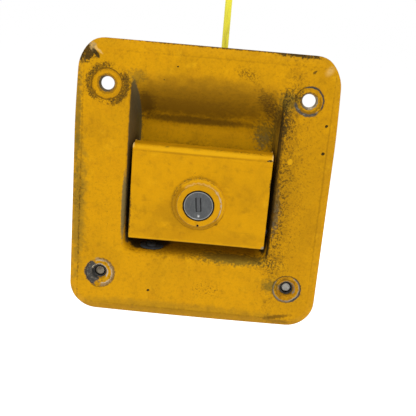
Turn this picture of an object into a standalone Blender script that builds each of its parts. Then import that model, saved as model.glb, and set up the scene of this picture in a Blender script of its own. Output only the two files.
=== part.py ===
"""Flush paddle latch with a key lock, for a machine's side door or canopy.

A pressed dish lies flush in a door panel.  A box shaped paddle fills the
lower part of the dish and turns on a pin near its lower edge.  The space
above the paddle is the finger pocket.  The paddle's lever reaches through the
dish floor and lifts a spring-loaded slide, which carries the latch bolt and
the release cable.

Frame: metres, +Z up the door, +X to the right as seen from outside, and the
outside of the door on the -Y side.  The origin is the centre of the flange,
on the outer face of the door panel.
"""

import math

import bmesh
import bpy
from mathutils import Matrix, Vector

MM = 0.001

# Gaps and the facets of round shapes
FIT_GAP = 0.3 * MM          # between pieces that touch or turn in each other
SMALL_SIDES = 16            # facets of rivets, screws and small holes
ROUND_SIDES = 32            # facets of the lock and other large turned pieces
CORNER_STEPS = 6            # facets of a plate's rounded corner

# Gasket between the flange and the door panel
GASKET_THICKNESS = 1.7 * MM
GASKET_INSET = 4.5 * MM     # gasket edge behind the flange edge

# Dish: flange, recess and sheet
SHEET = 2.0 * MM
FLANGE_BACK = -GASKET_THICKNESS - FIT_GAP
FLANGE_FRONT = FLANGE_BACK - SHEET
PLATE_HALF_WIDTH = 61.0 * MM
PLATE_HALF_HEIGHT = 66.0 * MM
PLATE_CORNER = 13.0 * MM
BORDER_WIDTH = 3.6 * MM     # turned-back border of the flange
BORDER_DROP = 1.3 * MM
RECESS_DEPTH = 20.0 * MM
FLOOR_FRONT = FLANGE_FRONT + RECESS_DEPTH
FLOOR_BACK = FLOOR_FRONT + SHEET
OPENING_HALF_WIDTH = 35.5 * MM
OPENING_BOTTOM = -34.2 * MM
OPENING_TOP = 50.6 * MM
OPENING_ROLL = 2.6 * MM     # width of the rounded edge into the recess
TOP_ROLL = 5.0 * MM         # the same, above the finger pocket
FLOOR_HALF_WIDTH = 32.6 * MM
FLOOR_BOTTOM = -31.2 * MM
FLOOR_TOP = 29.6 * MM       # crease below the sloping upper wall
FLOOR_CORNER = 3.0 * MM
FLOOR_WIDE_CORNER = 9.0 * MM    # upper right corner of the floor
LEVER_SLOT = (-27.0 * MM, -13.8 * MM)
LEVER_SLOT_HALF_WIDTH = 3.0 * MM

# Bolt holes: a square pattern of round seats pressed into the flange
HOLE_OFFSET = 46.5 * MM
HOLE_RADIUS = 3.5 * MM
SEAT_RADIUS = 6.8 * MM
SEAT_DEPTH = 0.8 * MM

# Fasteners in the two lower holes, put in from behind the door
THREAD_RADIUS = 2.5 * MM
THREAD_HOLE = THREAD_RADIUS + FIT_GAP
WELD_NUT_CORNERS = 4.6 * MM
WELD_NUT_HEIGHT = 4.0 * MM
WASHER_RADIUS = 7.5 * MM
WASHER_THICKNESS = 1.2 * MM
BOLT_HEAD_HEIGHT = 3.5 * MM
BOLT_TIP = FLANGE_FRONT + 3.0 * MM

# Paddle: a folded steel box, open at the back
PADDLE_FACE = FLANGE_FRONT - 0.5 * MM
PADDLE_SHEET = 1.5 * MM
PADDLE_HALF_WIDTH = 33.1 * MM
PADDLE_BOTTOM = -26.4 * MM
PADDLE_TOP = 21.2 * MM
LIP_RADIUS = 3.3 * MM
PADDLE_BACK = 10.0 * MM     # rear edge of the side cheeks by the pin
LIP_BACK = 4.0 * MM         # rear edge of the folded top lip

# Pivot pin of the paddle
PIVOT = Vector((0.0, 5.5 * MM, -20.5 * MM))
PIN_RADIUS = 2.0 * MM
PIN_HALF_LENGTH = 39.5 * MM
CLIP_RADIUS = 4.0 * MM
CLIP_THICKNESS = 0.9 * MM
CLIP_OFFSET = 37.4 * MM

# Paddle travel and the slide that it lifts
PADDLE_TRAVEL = math.radians(30.0)
LEVER_THICKNESS = 3.0 * MM
LEVER_WIDTH = 4.0 * MM
LEVER_HUB_RADIUS = 3.8 * MM
LEVER_NOSE_RADIUS = 2.5 * MM
LEVER_FOOT_HALF_WIDTH = 9.0 * MM
LEVER_FOOT_Y = (-2.4 * MM, 3.6 * MM)
LEVER_FOOT_LOW = PADDLE_BOTTOM + PADDLE_SHEET + FIT_GAP
LEVER_FOOT_HIGH = LEVER_FOOT_LOW + 1.6 * MM
LEVER_RIVET_X = 5.4 * MM
LEVER_RIVET_Y = 0.6 * MM
SLIDE_FRONT = FLOOR_BACK + 0.5 * MM
SLIDE_THICKNESS = 2.0 * MM
SLIDE_BACK = SLIDE_FRONT + SLIDE_THICKNESS
SLIDE_HALF_WIDTH = 10.0 * MM
SLIDE_BOTTOM = -57.0 * MM
SLIDE_TOP = 35.0 * MM

# The lever swings evenly about the horizontal, so it lifts the slide evenly
NOSE_Y = (SLIDE_FRONT + SLIDE_BACK) / 2
NOSE_RADIUS = (NOSE_Y - PIVOT.y) / math.cos(PADDLE_TRAVEL / 2)
NOSE_Z = PIVOT.z - NOSE_RADIUS * math.sin(PADDLE_TRAVEL / 2)

# Key lock in the paddle's face
LOCK_Z = -6.7 * MM
PLUG_RADIUS = 7.5 * MM
PLUG_FRONT = PADDLE_FACE - 3.2 * MM
PLUG_BACK = 9.6 * MM
HOUSING_BORE = PLUG_RADIUS + FIT_GAP
HOUSING_RADIUS = 9.0 * MM
HOUSING_BACK = 9.3 * MM
COLLAR_FRONT = PADDLE_FACE - 3.1 * MM
COLLAR_TOP_RADIUS = 10.6 * MM
COLLAR_BASE_RADIUS = 13.2 * MM
LOCK_NUT_CORNERS = 12.5 * MM
LOCK_NUT_THICKNESS = 3.2 * MM
KEYWAY_WIDTH = 2.6 * MM
KEYWAY_HEIGHT = 7.7 * MM
KEYWAY_DEPTH = 6.0 * MM
CAM_THICKNESS = 1.8 * MM
CAM_FRONT = PLUG_BACK + FIT_GAP
CAM_HUB_RADIUS = 6.0 * MM
CAM_REACH = 16.5 * MM
CAM_WIDTH = 8.0 * MM
CAM_BACK = CAM_FRONT + CAM_THICKNESS
CAM_SCREW_RADIUS = 1.5 * MM
CAM_SCREW_END = 4.0 * MM
CAM_WASHER_RADIUS = 4.0 * MM
CAM_WASHER_LOW = CAM_BACK + FIT_GAP
CAM_WASHER_HIGH = CAM_WASHER_LOW + 0.6 * MM
CAM_HEAD_RADIUS = 3.0 * MM
CAM_HEAD_LOW = CAM_WASHER_HIGH + FIT_GAP
CAM_HEAD_HIGH = CAM_HEAD_LOW + 1.9 * MM

# Latch bolt below the slide
BOLT_HALF_WIDTH = 8.0 * MM
BOLT_TOP = -42.0 * MM
BOLT_END = -70.0 * MM
BOLT_FRONT = SLIDE_BACK + FIT_GAP
BOLT_BACK = BOLT_FRONT + 6.2 * MM
BOLT_RAMP = -60.0 * MM      # where the slanted nose starts
BOLT_TIP_THICKNESS = 3.8 * MM
BOLT_RIVET_Z = (-53.4 * MM, -46.4 * MM)

# Guide bracket behind the dish
BRACKET_SHEET = 1.5 * MM
BRACKET_BOTTOM = -30.0 * MM
BRACKET_TOP = 20.0 * MM
BRACKET_INSIDE = 10.6 * MM
BRACKET_FLANGE = 24.0 * MM
BRACKET_FRONT = FLOOR_BACK + FIT_GAP
BRACKET_BACK = 28.5 * MM
BRACKET_RIVET_X = 18.0 * MM
BRACKET_RIVET_Z = (-24.0 * MM, 12.0 * MM)
RIVET_RADIUS = 1.6 * MM
RIVET_HEAD_RADIUS = 2.8 * MM
RIVET_HEAD_HEIGHT = 1.1 * MM

# Slide spring, between the slide's tab and the bracket's top tab
SPRING_CENTRE = (-6.0 * MM, 23.8 * MM)
SPRING_RADIUS = 2.1 * MM
SPRING_WIRE = 1.0 * MM
SPRING_TURNS = 8
SPRING_TAB_TOP = -6.0 * MM
SPRING_TAB_X = (-9.2 * MM, -2.8 * MM)

# Release cable, clamped to the top of the slide, with a swaged eye
CABLE_X = 5.5 * MM
CABLE_Y = 24.2 * MM
CABLE_DIAMETER = 3.3 * MM
CABLE_LOW = 24.0 * MM
CABLE_HIGH = 103.0 * MM
CLAMP_LOW = 23.0 * MM
CLAMP_HIGH = SLIDE_TOP
CLAMP_BACK = 28.0 * MM
CLAMP_SCREW_RADIUS = 1.5 * MM
CLAMP_HEAD_RADIUS = 2.7 * MM
EYE_SLEEVE_RADIUS = 3.2 * MM
EYE_SLEEVE_LOW = 93.0 * MM
EYE_SLEEVE_HIGH = 106.0 * MM
EYE_CENTRE_Z = 112.0 * MM
EYE_OUTER = 7.0 * MM
EYE_HOLE = 3.6 * MM
EYE_THICKNESS = 3.4 * MM

# Rubber travel stop in the lower wall of the recess
STOP_X = -23.5 * MM
STOP_Y = 3.2 * MM
STOP_TILT = math.atan2(FLOOR_BOTTOM - OPENING_BOTTOM, RECESS_DEPTH)
STOP_HALF_LENGTH = 8.6 * MM
STOP_HALF_WIDTH = 4.2 * MM
STOP_BUTTON_RADIUS = 3.3 * MM

# Keeper that the lock cam turns behind
KEEPER_LEFT = -20.5 * MM
KEEPER_SHEET = 2.0 * MM
KEEPER_HEIGHT = 10.0 * MM
KEEPER_FOOT = 6.5 * MM      # length of the foot, left of the keeper
KEEPER_HOOK_END = -12.8 * MM

# Torsion spring that closes the paddle
TORSION_WIRE = 1.2 * MM
TORSION_RADIUS = 3.9 * MM
TORSION_X = 17.0 * MM
TORSION_PITCH = 1.5 * MM
TORSION_START = math.radians(197.5)
TORSION_END = math.radians(-36.9 + 5 * 360)
TORSION_LEG = 11.5 * MM


# ---------------------------------------------------------------- basics

def clear_scene():
    for item in list(bpy.data.objects):
        bpy.data.objects.remove(item, do_unlink=True)


def make_material(name, colour, roughness, metallic):
    material = bpy.data.materials.new(name)
    material.use_nodes = True
    shader = material.node_tree.nodes["Principled BSDF"]
    shader.inputs["Base Color"].default_value = (*colour, 1.0)
    shader.inputs["Roughness"].default_value = roughness
    shader.inputs["Metallic"].default_value = metallic
    return material


FINISHES = {
    "yellow_paint": ((0.62, 0.33, 0.02), 0.45, 0.0),
    "zinc_steel": ((0.42, 0.42, 0.40), 0.42, 1.0),
    "bright_steel": ((0.50, 0.50, 0.50), 0.30, 1.0),
    "lock_steel": ((0.16, 0.17, 0.17), 0.35, 1.0),
    "spring_steel": ((0.22, 0.21, 0.20), 0.38, 1.0),
    "black_rubber": ((0.02, 0.02, 0.02), 0.80, 0.0),
    "cable_sleeve": ((0.60, 0.56, 0.03), 0.45, 0.0),
}


def finish(name):
    colour, roughness, metallic = FINISHES[name]
    return make_material(name, colour, roughness, metallic)


def shade_round(mesh):
    mesh.shade_smooth()
    mesh.set_sharp_from_angle(angle=math.radians(35))


def make_object(name, bm, finish_name):
    """Turn a bmesh into a named object with its own material."""
    bmesh.ops.recalc_face_normals(bm, faces=bm.faces[:])
    mesh = bpy.data.meshes.new(name)
    bm.to_mesh(mesh)
    bm.free()
    shade_round(mesh)
    item = bpy.data.objects.new(name, mesh)
    item.data.materials.append(finish(finish_name))
    bpy.context.collection.objects.link(item)
    return item


def make_axis(name, place):
    """An empty on a joint's axis, which the pieces of that body hang on."""
    empty = bpy.data.objects.new(name, None)
    empty.location = place
    bpy.context.collection.objects.link(empty)
    return empty


def hang_on(axis, items, world_of_axis):
    """Give pieces made in the door's frame the origin of their joint axis."""
    for item in items:
        item.data.transform(Matrix.Translation(-world_of_axis))
        item.parent = axis


def boolean(target, tool, operation):
    modifier = target.modifiers.new(operation.lower(), "BOOLEAN")
    modifier.operation = operation
    modifier.object = tool
    modifier.solver = "EXACT"


def hidden_tool(name, bm):
    """A cutter or an added block, which is only a guide for a Boolean."""
    tool = make_object(name, bm, "zinc_steel")
    tool.hide_render = True
    tool.display_type = "WIRE"
    return tool


def cut(target, bm):
    tool = hidden_tool(target.name + "_cut", bm)
    boolean(target, tool, "DIFFERENCE")


def add(target, bm):
    tool = hidden_tool(target.name + "_add", bm)
    boolean(target, tool, "UNION")


# ---------------------------------------------------------------- shapes

def prism(outline, axis, low, high):
    """A flat outline pushed along an axis.

    The outline's points are (y, z) for axis X, (x, z) for Y, (x, y) for Z.
    """
    bm = bmesh.new()
    places = {
        "X": lambda a, b: (low, a, b),
        "Y": lambda a, b: (a, low, b),
        "Z": lambda a, b: (a, b, low),
    }
    step = {"X": (high - low, 0, 0), "Y": (0, high - low, 0), "Z": (0, 0, high - low)}
    verts = [bm.verts.new(places[axis](a, b)) for a, b in outline]
    face = bm.faces.new(verts)
    pushed = bmesh.ops.extrude_face_region(bm, geom=[face])
    moved = [item for item in pushed["geom"] if isinstance(item, bmesh.types.BMVert)]
    bmesh.ops.translate(bm, verts=moved, vec=step[axis])
    bmesh.ops.recalc_face_normals(bm, faces=bm.faces[:])
    return bm


def block(x_range, y_range, z_range):
    outline = [
        (x_range[0], z_range[0]), (x_range[1], z_range[0]),
        (x_range[1], z_range[1]), (x_range[0], z_range[1]),
    ]
    return prism(outline, "Y", *y_range)


def ring_points(centre, radius, sides, start=0.0):
    return [
        (centre[0] + radius * math.cos(start + 2 * math.pi * step / sides),
         centre[1] + radius * math.sin(start + 2 * math.pi * step / sides))
        for step in range(sides)
    ]


def rod(axis, centre, radius, low, high, sides=SMALL_SIDES):
    return prism(ring_points(centre, radius, sides), axis, low, high)


def turned(profile, centre, sides):
    """A closed profile of (radius, y) points turned about an axis along Y."""
    bm = bmesh.new()
    verts = [bm.verts.new((radius, y, 0.0)) for radius, y in profile]
    edges = [bm.edges.new((verts[i - 1], verts[i])) for i in range(len(verts))]
    bmesh.ops.spin(
        bm, geom=verts + edges, cent=(0, 0, 0), axis=(0, 1, 0),
        angle=2 * math.pi, steps=sides, use_merge=True,
    )
    bmesh.ops.remove_doubles(bm, verts=bm.verts[:], dist=1e-6)
    bmesh.ops.translate(bm, verts=bm.verts[:], vec=(centre[0], 0.0, centre[1]))
    return bm


def rounded_outline(left, right, bottom, top, radii):
    """Corner radii are in the order bottom left, bottom right, top right, top left."""
    corners = (
        (left, bottom, 1, 1, math.pi), (right, bottom, -1, 1, 1.5 * math.pi),
        (right, top, -1, -1, 0.0), (left, top, 1, -1, 0.5 * math.pi),
    )
    points = []
    for (x, z, inward_x, inward_z, start), radius in zip(corners, radii):
        for step in range(CORNER_STEPS + 1):
            turn = start + 0.5 * math.pi * step / CORNER_STEPS
            points.append((
                x + inward_x * radius + radius * math.cos(turn),
                z + inward_z * radius + radius * math.sin(turn),
            ))
    return points


def slot_outline(centre, half_length, half_width, steps=8):
    """A slot with round ends, along the outline's first direction."""
    reach = half_length - half_width
    points = []
    for side, start in ((1, -0.5 * math.pi), (-1, 0.5 * math.pi)):
        for step in range(steps + 1):
            turn = start + math.pi * step / steps
            points.append((
                centre[0] + side * reach + half_width * math.cos(turn),
                centre[1] + half_width * math.sin(turn),
            ))
    return points


def wire(name, points, diameter, resolution, finish_name):
    """A round wire or cord along a list of points, with closed ends."""
    curve = bpy.data.curves.new(name, "CURVE")
    curve.dimensions = "3D"
    curve.bevel_depth = diameter / 2
    curve.bevel_resolution = resolution
    curve.use_fill_caps = True
    spline = curve.splines.new("POLY")
    spline.points.add(len(points) - 1)
    for spot, point in zip(spline.points, points):
        spot.co = (*point, 1.0)
    item = bpy.data.objects.new(name, curve)
    item.data.materials.append(finish(finish_name))
    bpy.context.collection.objects.link(item)
    return item


def rivet(name, place, axis, grip, finish_name="zinc_steel"):
    """A rivet with a head at each end; grip is the length between the heads."""
    head = RIVET_HEAD_HEIGHT
    crown = 0.6 * RIVET_HEAD_RADIUS
    profile = [
        (0.0, -grip / 2 - head), (crown, -grip / 2 - head),
        (RIVET_HEAD_RADIUS, -grip / 2 - head / 3), (RIVET_HEAD_RADIUS, -grip / 2),
        (RIVET_RADIUS, -grip / 2), (RIVET_RADIUS, grip / 2),
        (RIVET_HEAD_RADIUS, grip / 2), (RIVET_HEAD_RADIUS, grip / 2 + head / 3),
        (crown, grip / 2 + head), (0.0, grip / 2 + head),
    ]
    bm = turned(profile, (0.0, 0.0), SMALL_SIDES)
    if axis == "Z":
        bmesh.ops.rotate(bm, verts=bm.verts[:], matrix=Matrix.Rotation(math.pi / 2, 3, "X"))
    item = make_object(name, bm, finish_name)
    item.location = place
    return item


# ---------------------------------------------------------------- dish

def dish_loops():
    """Outlines of the dish's front surface, from the flange edge to the floor."""
    width = PLATE_HALF_WIDTH
    height = PLATE_HALF_HEIGHT
    inner_width = width - BORDER_WIDTH
    inner_height = height - BORDER_WIDTH
    border_corner = PLATE_CORNER - BORDER_WIDTH
    half = OPENING_HALF_WIDTH
    low = OPENING_BOTTOM
    top = OPENING_TOP
    roll = OPENING_ROLL
    soft = TOP_ROLL
    fillet_side = FLOOR_HALF_WIDTH + 1.0 * MM
    floor_corners = [FLOOR_CORNER, FLOOR_CORNER, FLOOR_WIDE_CORNER, FLOOR_CORNER]
    return [
        (FLANGE_FRONT + BORDER_DROP,
         (-width, width, -height, height), [PLATE_CORNER] * 4),
        (FLANGE_FRONT,
         (-inner_width, inner_width, -inner_height, inner_height), [border_corner] * 4),
        (FLANGE_FRONT,
         (-half - roll, half + roll, low - roll, top + soft), [5.0 * MM] * 4),
        (FLANGE_FRONT + 0.6 * MM,
         (-half - 0.7 * MM, half + 0.7 * MM, low - 0.7 * MM, top + 0.45 * soft), [4.0 * MM] * 4),
        (FLANGE_FRONT + 2.4 * MM,
         (-half, half, low, top), [3.4 * MM] * 4),
        (FLOOR_FRONT - 2.0 * MM,
         (-fillet_side, fillet_side, FLOOR_BOTTOM - 1.0 * MM, FLOOR_TOP + 2.2 * MM),
         floor_corners),
        (FLOOR_FRONT,
         (-FLOOR_HALF_WIDTH, FLOOR_HALF_WIDTH, FLOOR_BOTTOM, FLOOR_TOP),
         floor_corners),
    ]


def make_dish():
    bm = bmesh.new()
    previous = None
    for y, (left, right, bottom, top), radii in dish_loops():
        outline = rounded_outline(left, right, bottom, top, radii)
        verts = [bm.verts.new((x, y, z)) for x, z in outline]
        if previous:
            for i in range(len(verts)):
                bm.faces.new((previous[i - 1], previous[i], verts[i], verts[i - 1]))
        previous = verts
    floor = bm.faces.new(previous)
    bmesh.ops.recalc_face_normals(bm, faces=bm.faces[:])
    if floor.normal.y > 0:
        bmesh.ops.reverse_faces(bm, faces=bm.faces[:])
    mesh = bpy.data.meshes.new("dish")
    bm.to_mesh(mesh)
    bm.free()
    dish = bpy.data.objects.new("dish", mesh)
    dish.data.materials.append(finish("yellow_paint"))
    bpy.context.collection.objects.link(dish)
    shade_round(mesh)

    wall = dish.modifiers.new("sheet", "SOLIDIFY")
    wall.thickness = SHEET
    wall.offset = -1.0
    wall.use_even_offset = True

    for side_x in (-1, 1):
        for side_z in (-1, 1):
            centre = (side_x * HOLE_OFFSET, side_z * HOLE_OFFSET)
            seat_floor = FLANGE_FRONT + SEAT_DEPTH
            cut(dish, rod("Y", centre, SEAT_RADIUS, FLANGE_FRONT - MM, seat_floor, ROUND_SIDES))
            cut(dish, rod("Y", centre, HOLE_RADIUS, FLANGE_FRONT - MM, 0.0, SMALL_SIDES))
    for side_x in (-1, 1):
        for z in BRACKET_RIVET_Z:
            centre = (side_x * BRACKET_RIVET_X, z)
            cut(dish, rod("Y", centre, RIVET_RADIUS + FIT_GAP, FLOOR_FRONT - MM, FLOOR_BACK + MM))
    reach = PIN_HALF_LENGTH + MM
    cut(dish, rod("X", (PIVOT.y, PIVOT.z), PIN_RADIUS + FIT_GAP, -reach, reach))
    slot_half = LEVER_SLOT_HALF_WIDTH
    cut(dish, block((-slot_half, slot_half), (FLOOR_FRONT - MM, FLOOR_BACK + MM), LEVER_SLOT))
    cut(dish, stop_shape(STOP_HALF_LENGTH - MM, STOP_HALF_WIDTH - MM, -6.0 * MM, 4.0 * MM))
    return dish


def stop_frame():
    """Where the travel stop sits on the recess's sloping lower wall."""
    rise = (STOP_Y - FLANGE_FRONT) * math.tan(STOP_TILT)
    return Matrix.Translation((STOP_X, STOP_Y, OPENING_BOTTOM + rise)) @ Matrix.Rotation(STOP_TILT, 4, "X")


def stop_shape(half_length, half_width, low, high):
    bm = prism(slot_outline((0.0, 0.0), half_length, half_width), "Z", low, high)
    bmesh.ops.transform(bm, matrix=stop_frame(), verts=bm.verts[:])
    return bm


def make_travel_stop():
    """A rubber plug in an oval hole, with a raised button that the paddle lands on."""
    stem_half_length = STOP_HALF_LENGTH - MM - FIT_GAP
    stem_half_width = STOP_HALF_WIDTH - MM - FIT_GAP
    stop = make_object(
        "travel_stop", stop_shape(STOP_HALF_LENGTH, STOP_HALF_WIDTH, 0.35 * MM, 1.3 * MM), "black_rubber")
    add(stop, stop_shape(stem_half_length, stem_half_width, -3.2 * MM, 0.6 * MM))
    add(stop, stop_shape(STOP_HALF_LENGTH - 0.4 * MM, STOP_HALF_WIDTH - 0.3 * MM, -4.0 * MM, -2.6 * MM))
    button = prism(ring_points((0.0, 0.0), STOP_BUTTON_RADIUS, SMALL_SIDES), "Z", 0.9 * MM, 2.2 * MM)
    bmesh.ops.transform(button, matrix=stop_frame(), verts=button.verts[:])
    add(stop, button)
    return stop


def make_gasket():
    half_width = PLATE_HALF_WIDTH - GASKET_INSET
    half_height = PLATE_HALF_HEIGHT - GASKET_INSET
    corner = PLATE_CORNER - GASKET_INSET
    outline = rounded_outline(-half_width, half_width, -half_height, half_height, [corner] * 4)
    gasket = make_object("flange_gasket", prism(outline, "Y", -GASKET_THICKNESS, 0.0), "black_rubber")
    side = OPENING_HALF_WIDTH + 3.5 * MM
    inner = rounded_outline(-side, side, OPENING_BOTTOM - 3.5 * MM, OPENING_TOP + 5.5 * MM, [5.0 * MM] * 4)
    cut(gasket, prism(inner, "Y", -GASKET_THICKNESS - MM, MM))
    for side_x in (-1, 1):
        for side_z, radius in ((-1, WELD_NUT_CORNERS + 0.6 * MM), (1, HOLE_RADIUS + 0.7 * MM)):
            centre = (side_x * HOLE_OFFSET, side_z * HOLE_OFFSET)
            cut(gasket, rod("Y", centre, radius, -GASKET_THICKNESS - MM, MM))
    return gasket


# ---------------------------------------------------------------- fixed pieces

def make_lower_fasteners():
    """Weld nut, washer and bolt at each of the two lower holes."""
    nut_low = FLANGE_BACK + FIT_GAP
    nut_high = nut_low + WELD_NUT_HEIGHT
    washer_low = nut_high + FIT_GAP
    washer_high = washer_low + WASHER_THICKNESS
    head_low = washer_high + FIT_GAP
    for side, word in ((-1, "left"), (1, "right")):
        place = Vector((side * HOLE_OFFSET, 0.0, -HOLE_OFFSET))
        centre = (0.0, 0.0)
        nut = make_object(
            "weld_nut_" + word, rod("Y", centre, WELD_NUT_CORNERS, nut_low, nut_high, 6), "zinc_steel")
        nut.location = place
        cut_at(nut, rod("Y", centre, THREAD_HOLE, nut_low - MM, nut_high + MM), place)

        washer = make_object("bolt_washer_" + word, turned([
            (THREAD_HOLE, washer_low), (WASHER_RADIUS, washer_low),
            (WASHER_RADIUS, washer_high), (THREAD_HOLE, washer_high),
        ], centre, ROUND_SIDES), "zinc_steel")
        washer.location = place

        bolt = make_object(
            "door_bolt_" + word, rod("Y", centre, THREAD_RADIUS, BOLT_TIP, head_low + MM), "zinc_steel")
        bolt.location = place
        head = rod("Y", centre, WELD_NUT_CORNERS, head_low, head_low + BOLT_HEAD_HEIGHT, 6)
        add_at(bolt, head, place)


def cut_at(target, bm, place):
    bmesh.ops.translate(bm, verts=bm.verts[:], vec=place)
    cut(target, bm)


def add_at(target, bm, place):
    bmesh.ops.translate(bm, verts=bm.verts[:], vec=place)
    add(target, bm)


def make_pin_and_clips():
    make_object(
        "pivot_pin",
        rod("X", (PIVOT.y, PIVOT.z), PIN_RADIUS, -PIN_HALF_LENGTH, PIN_HALF_LENGTH), "bright_steel")
    for side, word in ((-1, "left"), (1, "right")):
        near = side * CLIP_OFFSET
        far = side * (CLIP_OFFSET + CLIP_THICKNESS)
        centre = (PIVOT.y, PIVOT.z)
        clip = make_object("pin_clip_" + word, rod("X", centre, CLIP_RADIUS, near, far), "spring_steel")
        over = side * MM
        cut(clip, rod("X", centre, PIN_RADIUS + FIT_GAP, near - over, far + over))


def make_bracket():
    """The folded channel that guides the slide, with a tab for the spring."""
    inside = BRACKET_INSIDE
    outside = inside + BRACKET_SHEET
    front = BRACKET_FRONT
    step = front + BRACKET_SHEET
    back = BRACKET_BACK
    right_half = [
        (inside, front), (BRACKET_FLANGE, front), (BRACKET_FLANGE, step),
        (outside, step), (outside, back),
    ]
    left_half = [(-x, y) for x, y in reversed(right_half)]
    channel = right_half + left_half + [(-inside, back - BRACKET_SHEET), (inside, back - BRACKET_SHEET)]
    bracket = make_object(
        "guide_bracket", prism(channel, "Z", BRACKET_BOTTOM, BRACKET_TOP), "zinc_steel")
    tab = (BRACKET_TOP - BRACKET_SHEET, BRACKET_TOP)
    tab_width = inside + 0.5 * MM
    add(bracket, block((-tab_width, tab_width), (SLIDE_BACK + 0.5 * MM, back - 0.5 * MM), tab))
    lip_y = (SLIDE_BACK + 0.4 * MM, SLIDE_BACK + 1.9 * MM)
    for side in (-1, 1):
        lip_x = sorted((side * (inside - 2.4 * MM), side * (inside + 0.5 * MM)))
        add(bracket, block(lip_x, lip_y, (BRACKET_BOTTOM, -14.0 * MM)))
        for z in BRACKET_RIVET_Z:
            centre = (side * BRACKET_RIVET_X, z)
            cut(bracket, rod("Y", centre, RIVET_RADIUS + FIT_GAP, front - MM, step + MM))
    return bracket


def make_bracket_rivets():
    low = FLOOR_FRONT - FIT_GAP
    high = BRACKET_FRONT + BRACKET_SHEET + FIT_GAP
    number = 0
    for side in (-1, 1):
        for z in BRACKET_RIVET_Z:
            number += 1
            place = Vector((side * BRACKET_RIVET_X, (low + high) / 2, z))
            rivet("bracket_rivet_%d" % number, place, "Y", high - low)


def make_lock_keeper():
    """A hooked tab, spot welded to the dish floor, that the lock cam turns behind."""
    right = KEEPER_LEFT + KEEPER_SHEET
    foot_back = FLOOR_FRONT - FIT_GAP
    hook = CAM_FRONT - 0.9 * MM
    outline = [
        (KEEPER_LEFT - KEEPER_FOOT, foot_back), (right, foot_back), (right, hook),
        (KEEPER_HOOK_END, hook), (KEEPER_HOOK_END, hook - KEEPER_SHEET),
        (KEEPER_LEFT, hook - KEEPER_SHEET), (KEEPER_LEFT, foot_back - 1.5 * MM),
        (KEEPER_LEFT - KEEPER_FOOT, foot_back - 1.5 * MM),
    ]
    half = KEEPER_HEIGHT / 2
    return make_object("lock_keeper", prism(outline, "Z", LOCK_Z - half, LOCK_Z + half), "zinc_steel")


# ---------------------------------------------------------------- paddle body

def paddle_side(inset):
    """The paddle's side outline in (y, z), moved inwards by the sheet."""
    lip = LIP_RADIUS - inset
    face = PADDLE_FACE + inset
    top = PADDLE_TOP - inset
    centre = (PADDLE_FACE + LIP_RADIUS, PADDLE_TOP - LIP_RADIUS)
    arc_steps = 5
    points = [(face, PADDLE_BOTTOM + inset)]
    for step in range(arc_steps + 1):
        turn = math.pi - 0.5 * math.pi * step / arc_steps
        points.append((centre[0] + lip * math.cos(turn), centre[1] + lip * math.sin(turn)))
    if inset:
        open_back = PADDLE_BACK + 5.0 * MM
        return points + [(open_back, top), (open_back, PADDLE_BOTTOM + inset)]
    return points + [
        (LIP_BACK, top), (PADDLE_BACK, -6.0 * MM), (PADDLE_BACK, -23.4 * MM),
        (PADDLE_BACK - 3.0 * MM, PADDLE_BOTTOM),
    ]


def make_paddle():
    half = PADDLE_HALF_WIDTH
    paddle = make_object("paddle", prism(paddle_side(0.0), "X", -half, half), "yellow_paint")
    inside = half - PADDLE_SHEET
    cut(paddle, prism(paddle_side(PADDLE_SHEET), "X", -inside, inside))
    cut(paddle, rod("Y", (0.0, LOCK_Z), HOUSING_RADIUS + FIT_GAP, -10.0 * MM, 2.0 * MM, ROUND_SIDES))
    cut(paddle, rod("X", (PIVOT.y, PIVOT.z), PIN_RADIUS + FIT_GAP, -half - MM, half + MM))
    for side in (-1, 1):
        centre = (side * LEVER_RIVET_X, LEVER_RIVET_Y)
        cut(paddle, rod("Z", centre, RIVET_RADIUS + FIT_GAP, PADDLE_BOTTOM - MM, PADDLE_BOTTOM + 2.0 * MM))
    return paddle


def make_lift_lever():
    """Hub on the pin, arm through the dish floor, and a foot riveted to the paddle."""
    half = LEVER_THICKNESS / 2
    hub = ring_points((PIVOT.y, PIVOT.z), LEVER_HUB_RADIUS, SMALL_SIDES)
    lever = make_object("lift_lever", prism(hub, "X", -half, half), "zinc_steel")
    direction = Vector((NOSE_Y - PIVOT.y, NOSE_Z - PIVOT.z)).normalized()
    side = Vector((-direction.y, direction.x)) * (LEVER_WIDTH / 2)
    start = Vector((PIVOT.y, PIVOT.z)) + direction * MM
    end = Vector((NOSE_Y, NOSE_Z))
    arm = [start - side, end - side, end + side, start + side]
    add(lever, prism([tuple(point) for point in arm], "X", -half, half))
    add(lever, rod("X", (NOSE_Y, NOSE_Z), LEVER_NOSE_RADIUS, -half, half))
    add(lever, block((-half, half), (LEVER_FOOT_Y[0], PIVOT.y), (LEVER_FOOT_LOW, PIVOT.z - MM)))
    foot = LEVER_FOOT_HALF_WIDTH
    add(lever, block((-foot, foot), LEVER_FOOT_Y, (LEVER_FOOT_LOW, LEVER_FOOT_HIGH)))
    cut(lever, rod("X", (PIVOT.y, PIVOT.z), PIN_RADIUS + FIT_GAP, -half - MM, half + MM))
    for side_x in (-1, 1):
        centre = (side_x * LEVER_RIVET_X, LEVER_RIVET_Y)
        cut(lever, rod("Z", centre, RIVET_RADIUS + FIT_GAP, LEVER_FOOT_LOW - MM, LEVER_FOOT_HIGH + MM))
    return lever


def make_lever_rivets():
    low = PADDLE_BOTTOM - FIT_GAP
    high = LEVER_FOOT_HIGH + FIT_GAP
    return [
        rivet("lever_rivet_" + word, Vector((side * LEVER_RIVET_X, LEVER_RIVET_Y, (low + high) / 2)),
              "Z", high - low)
        for side, word in ((-1, "left"), (1, "right"))
    ]


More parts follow.
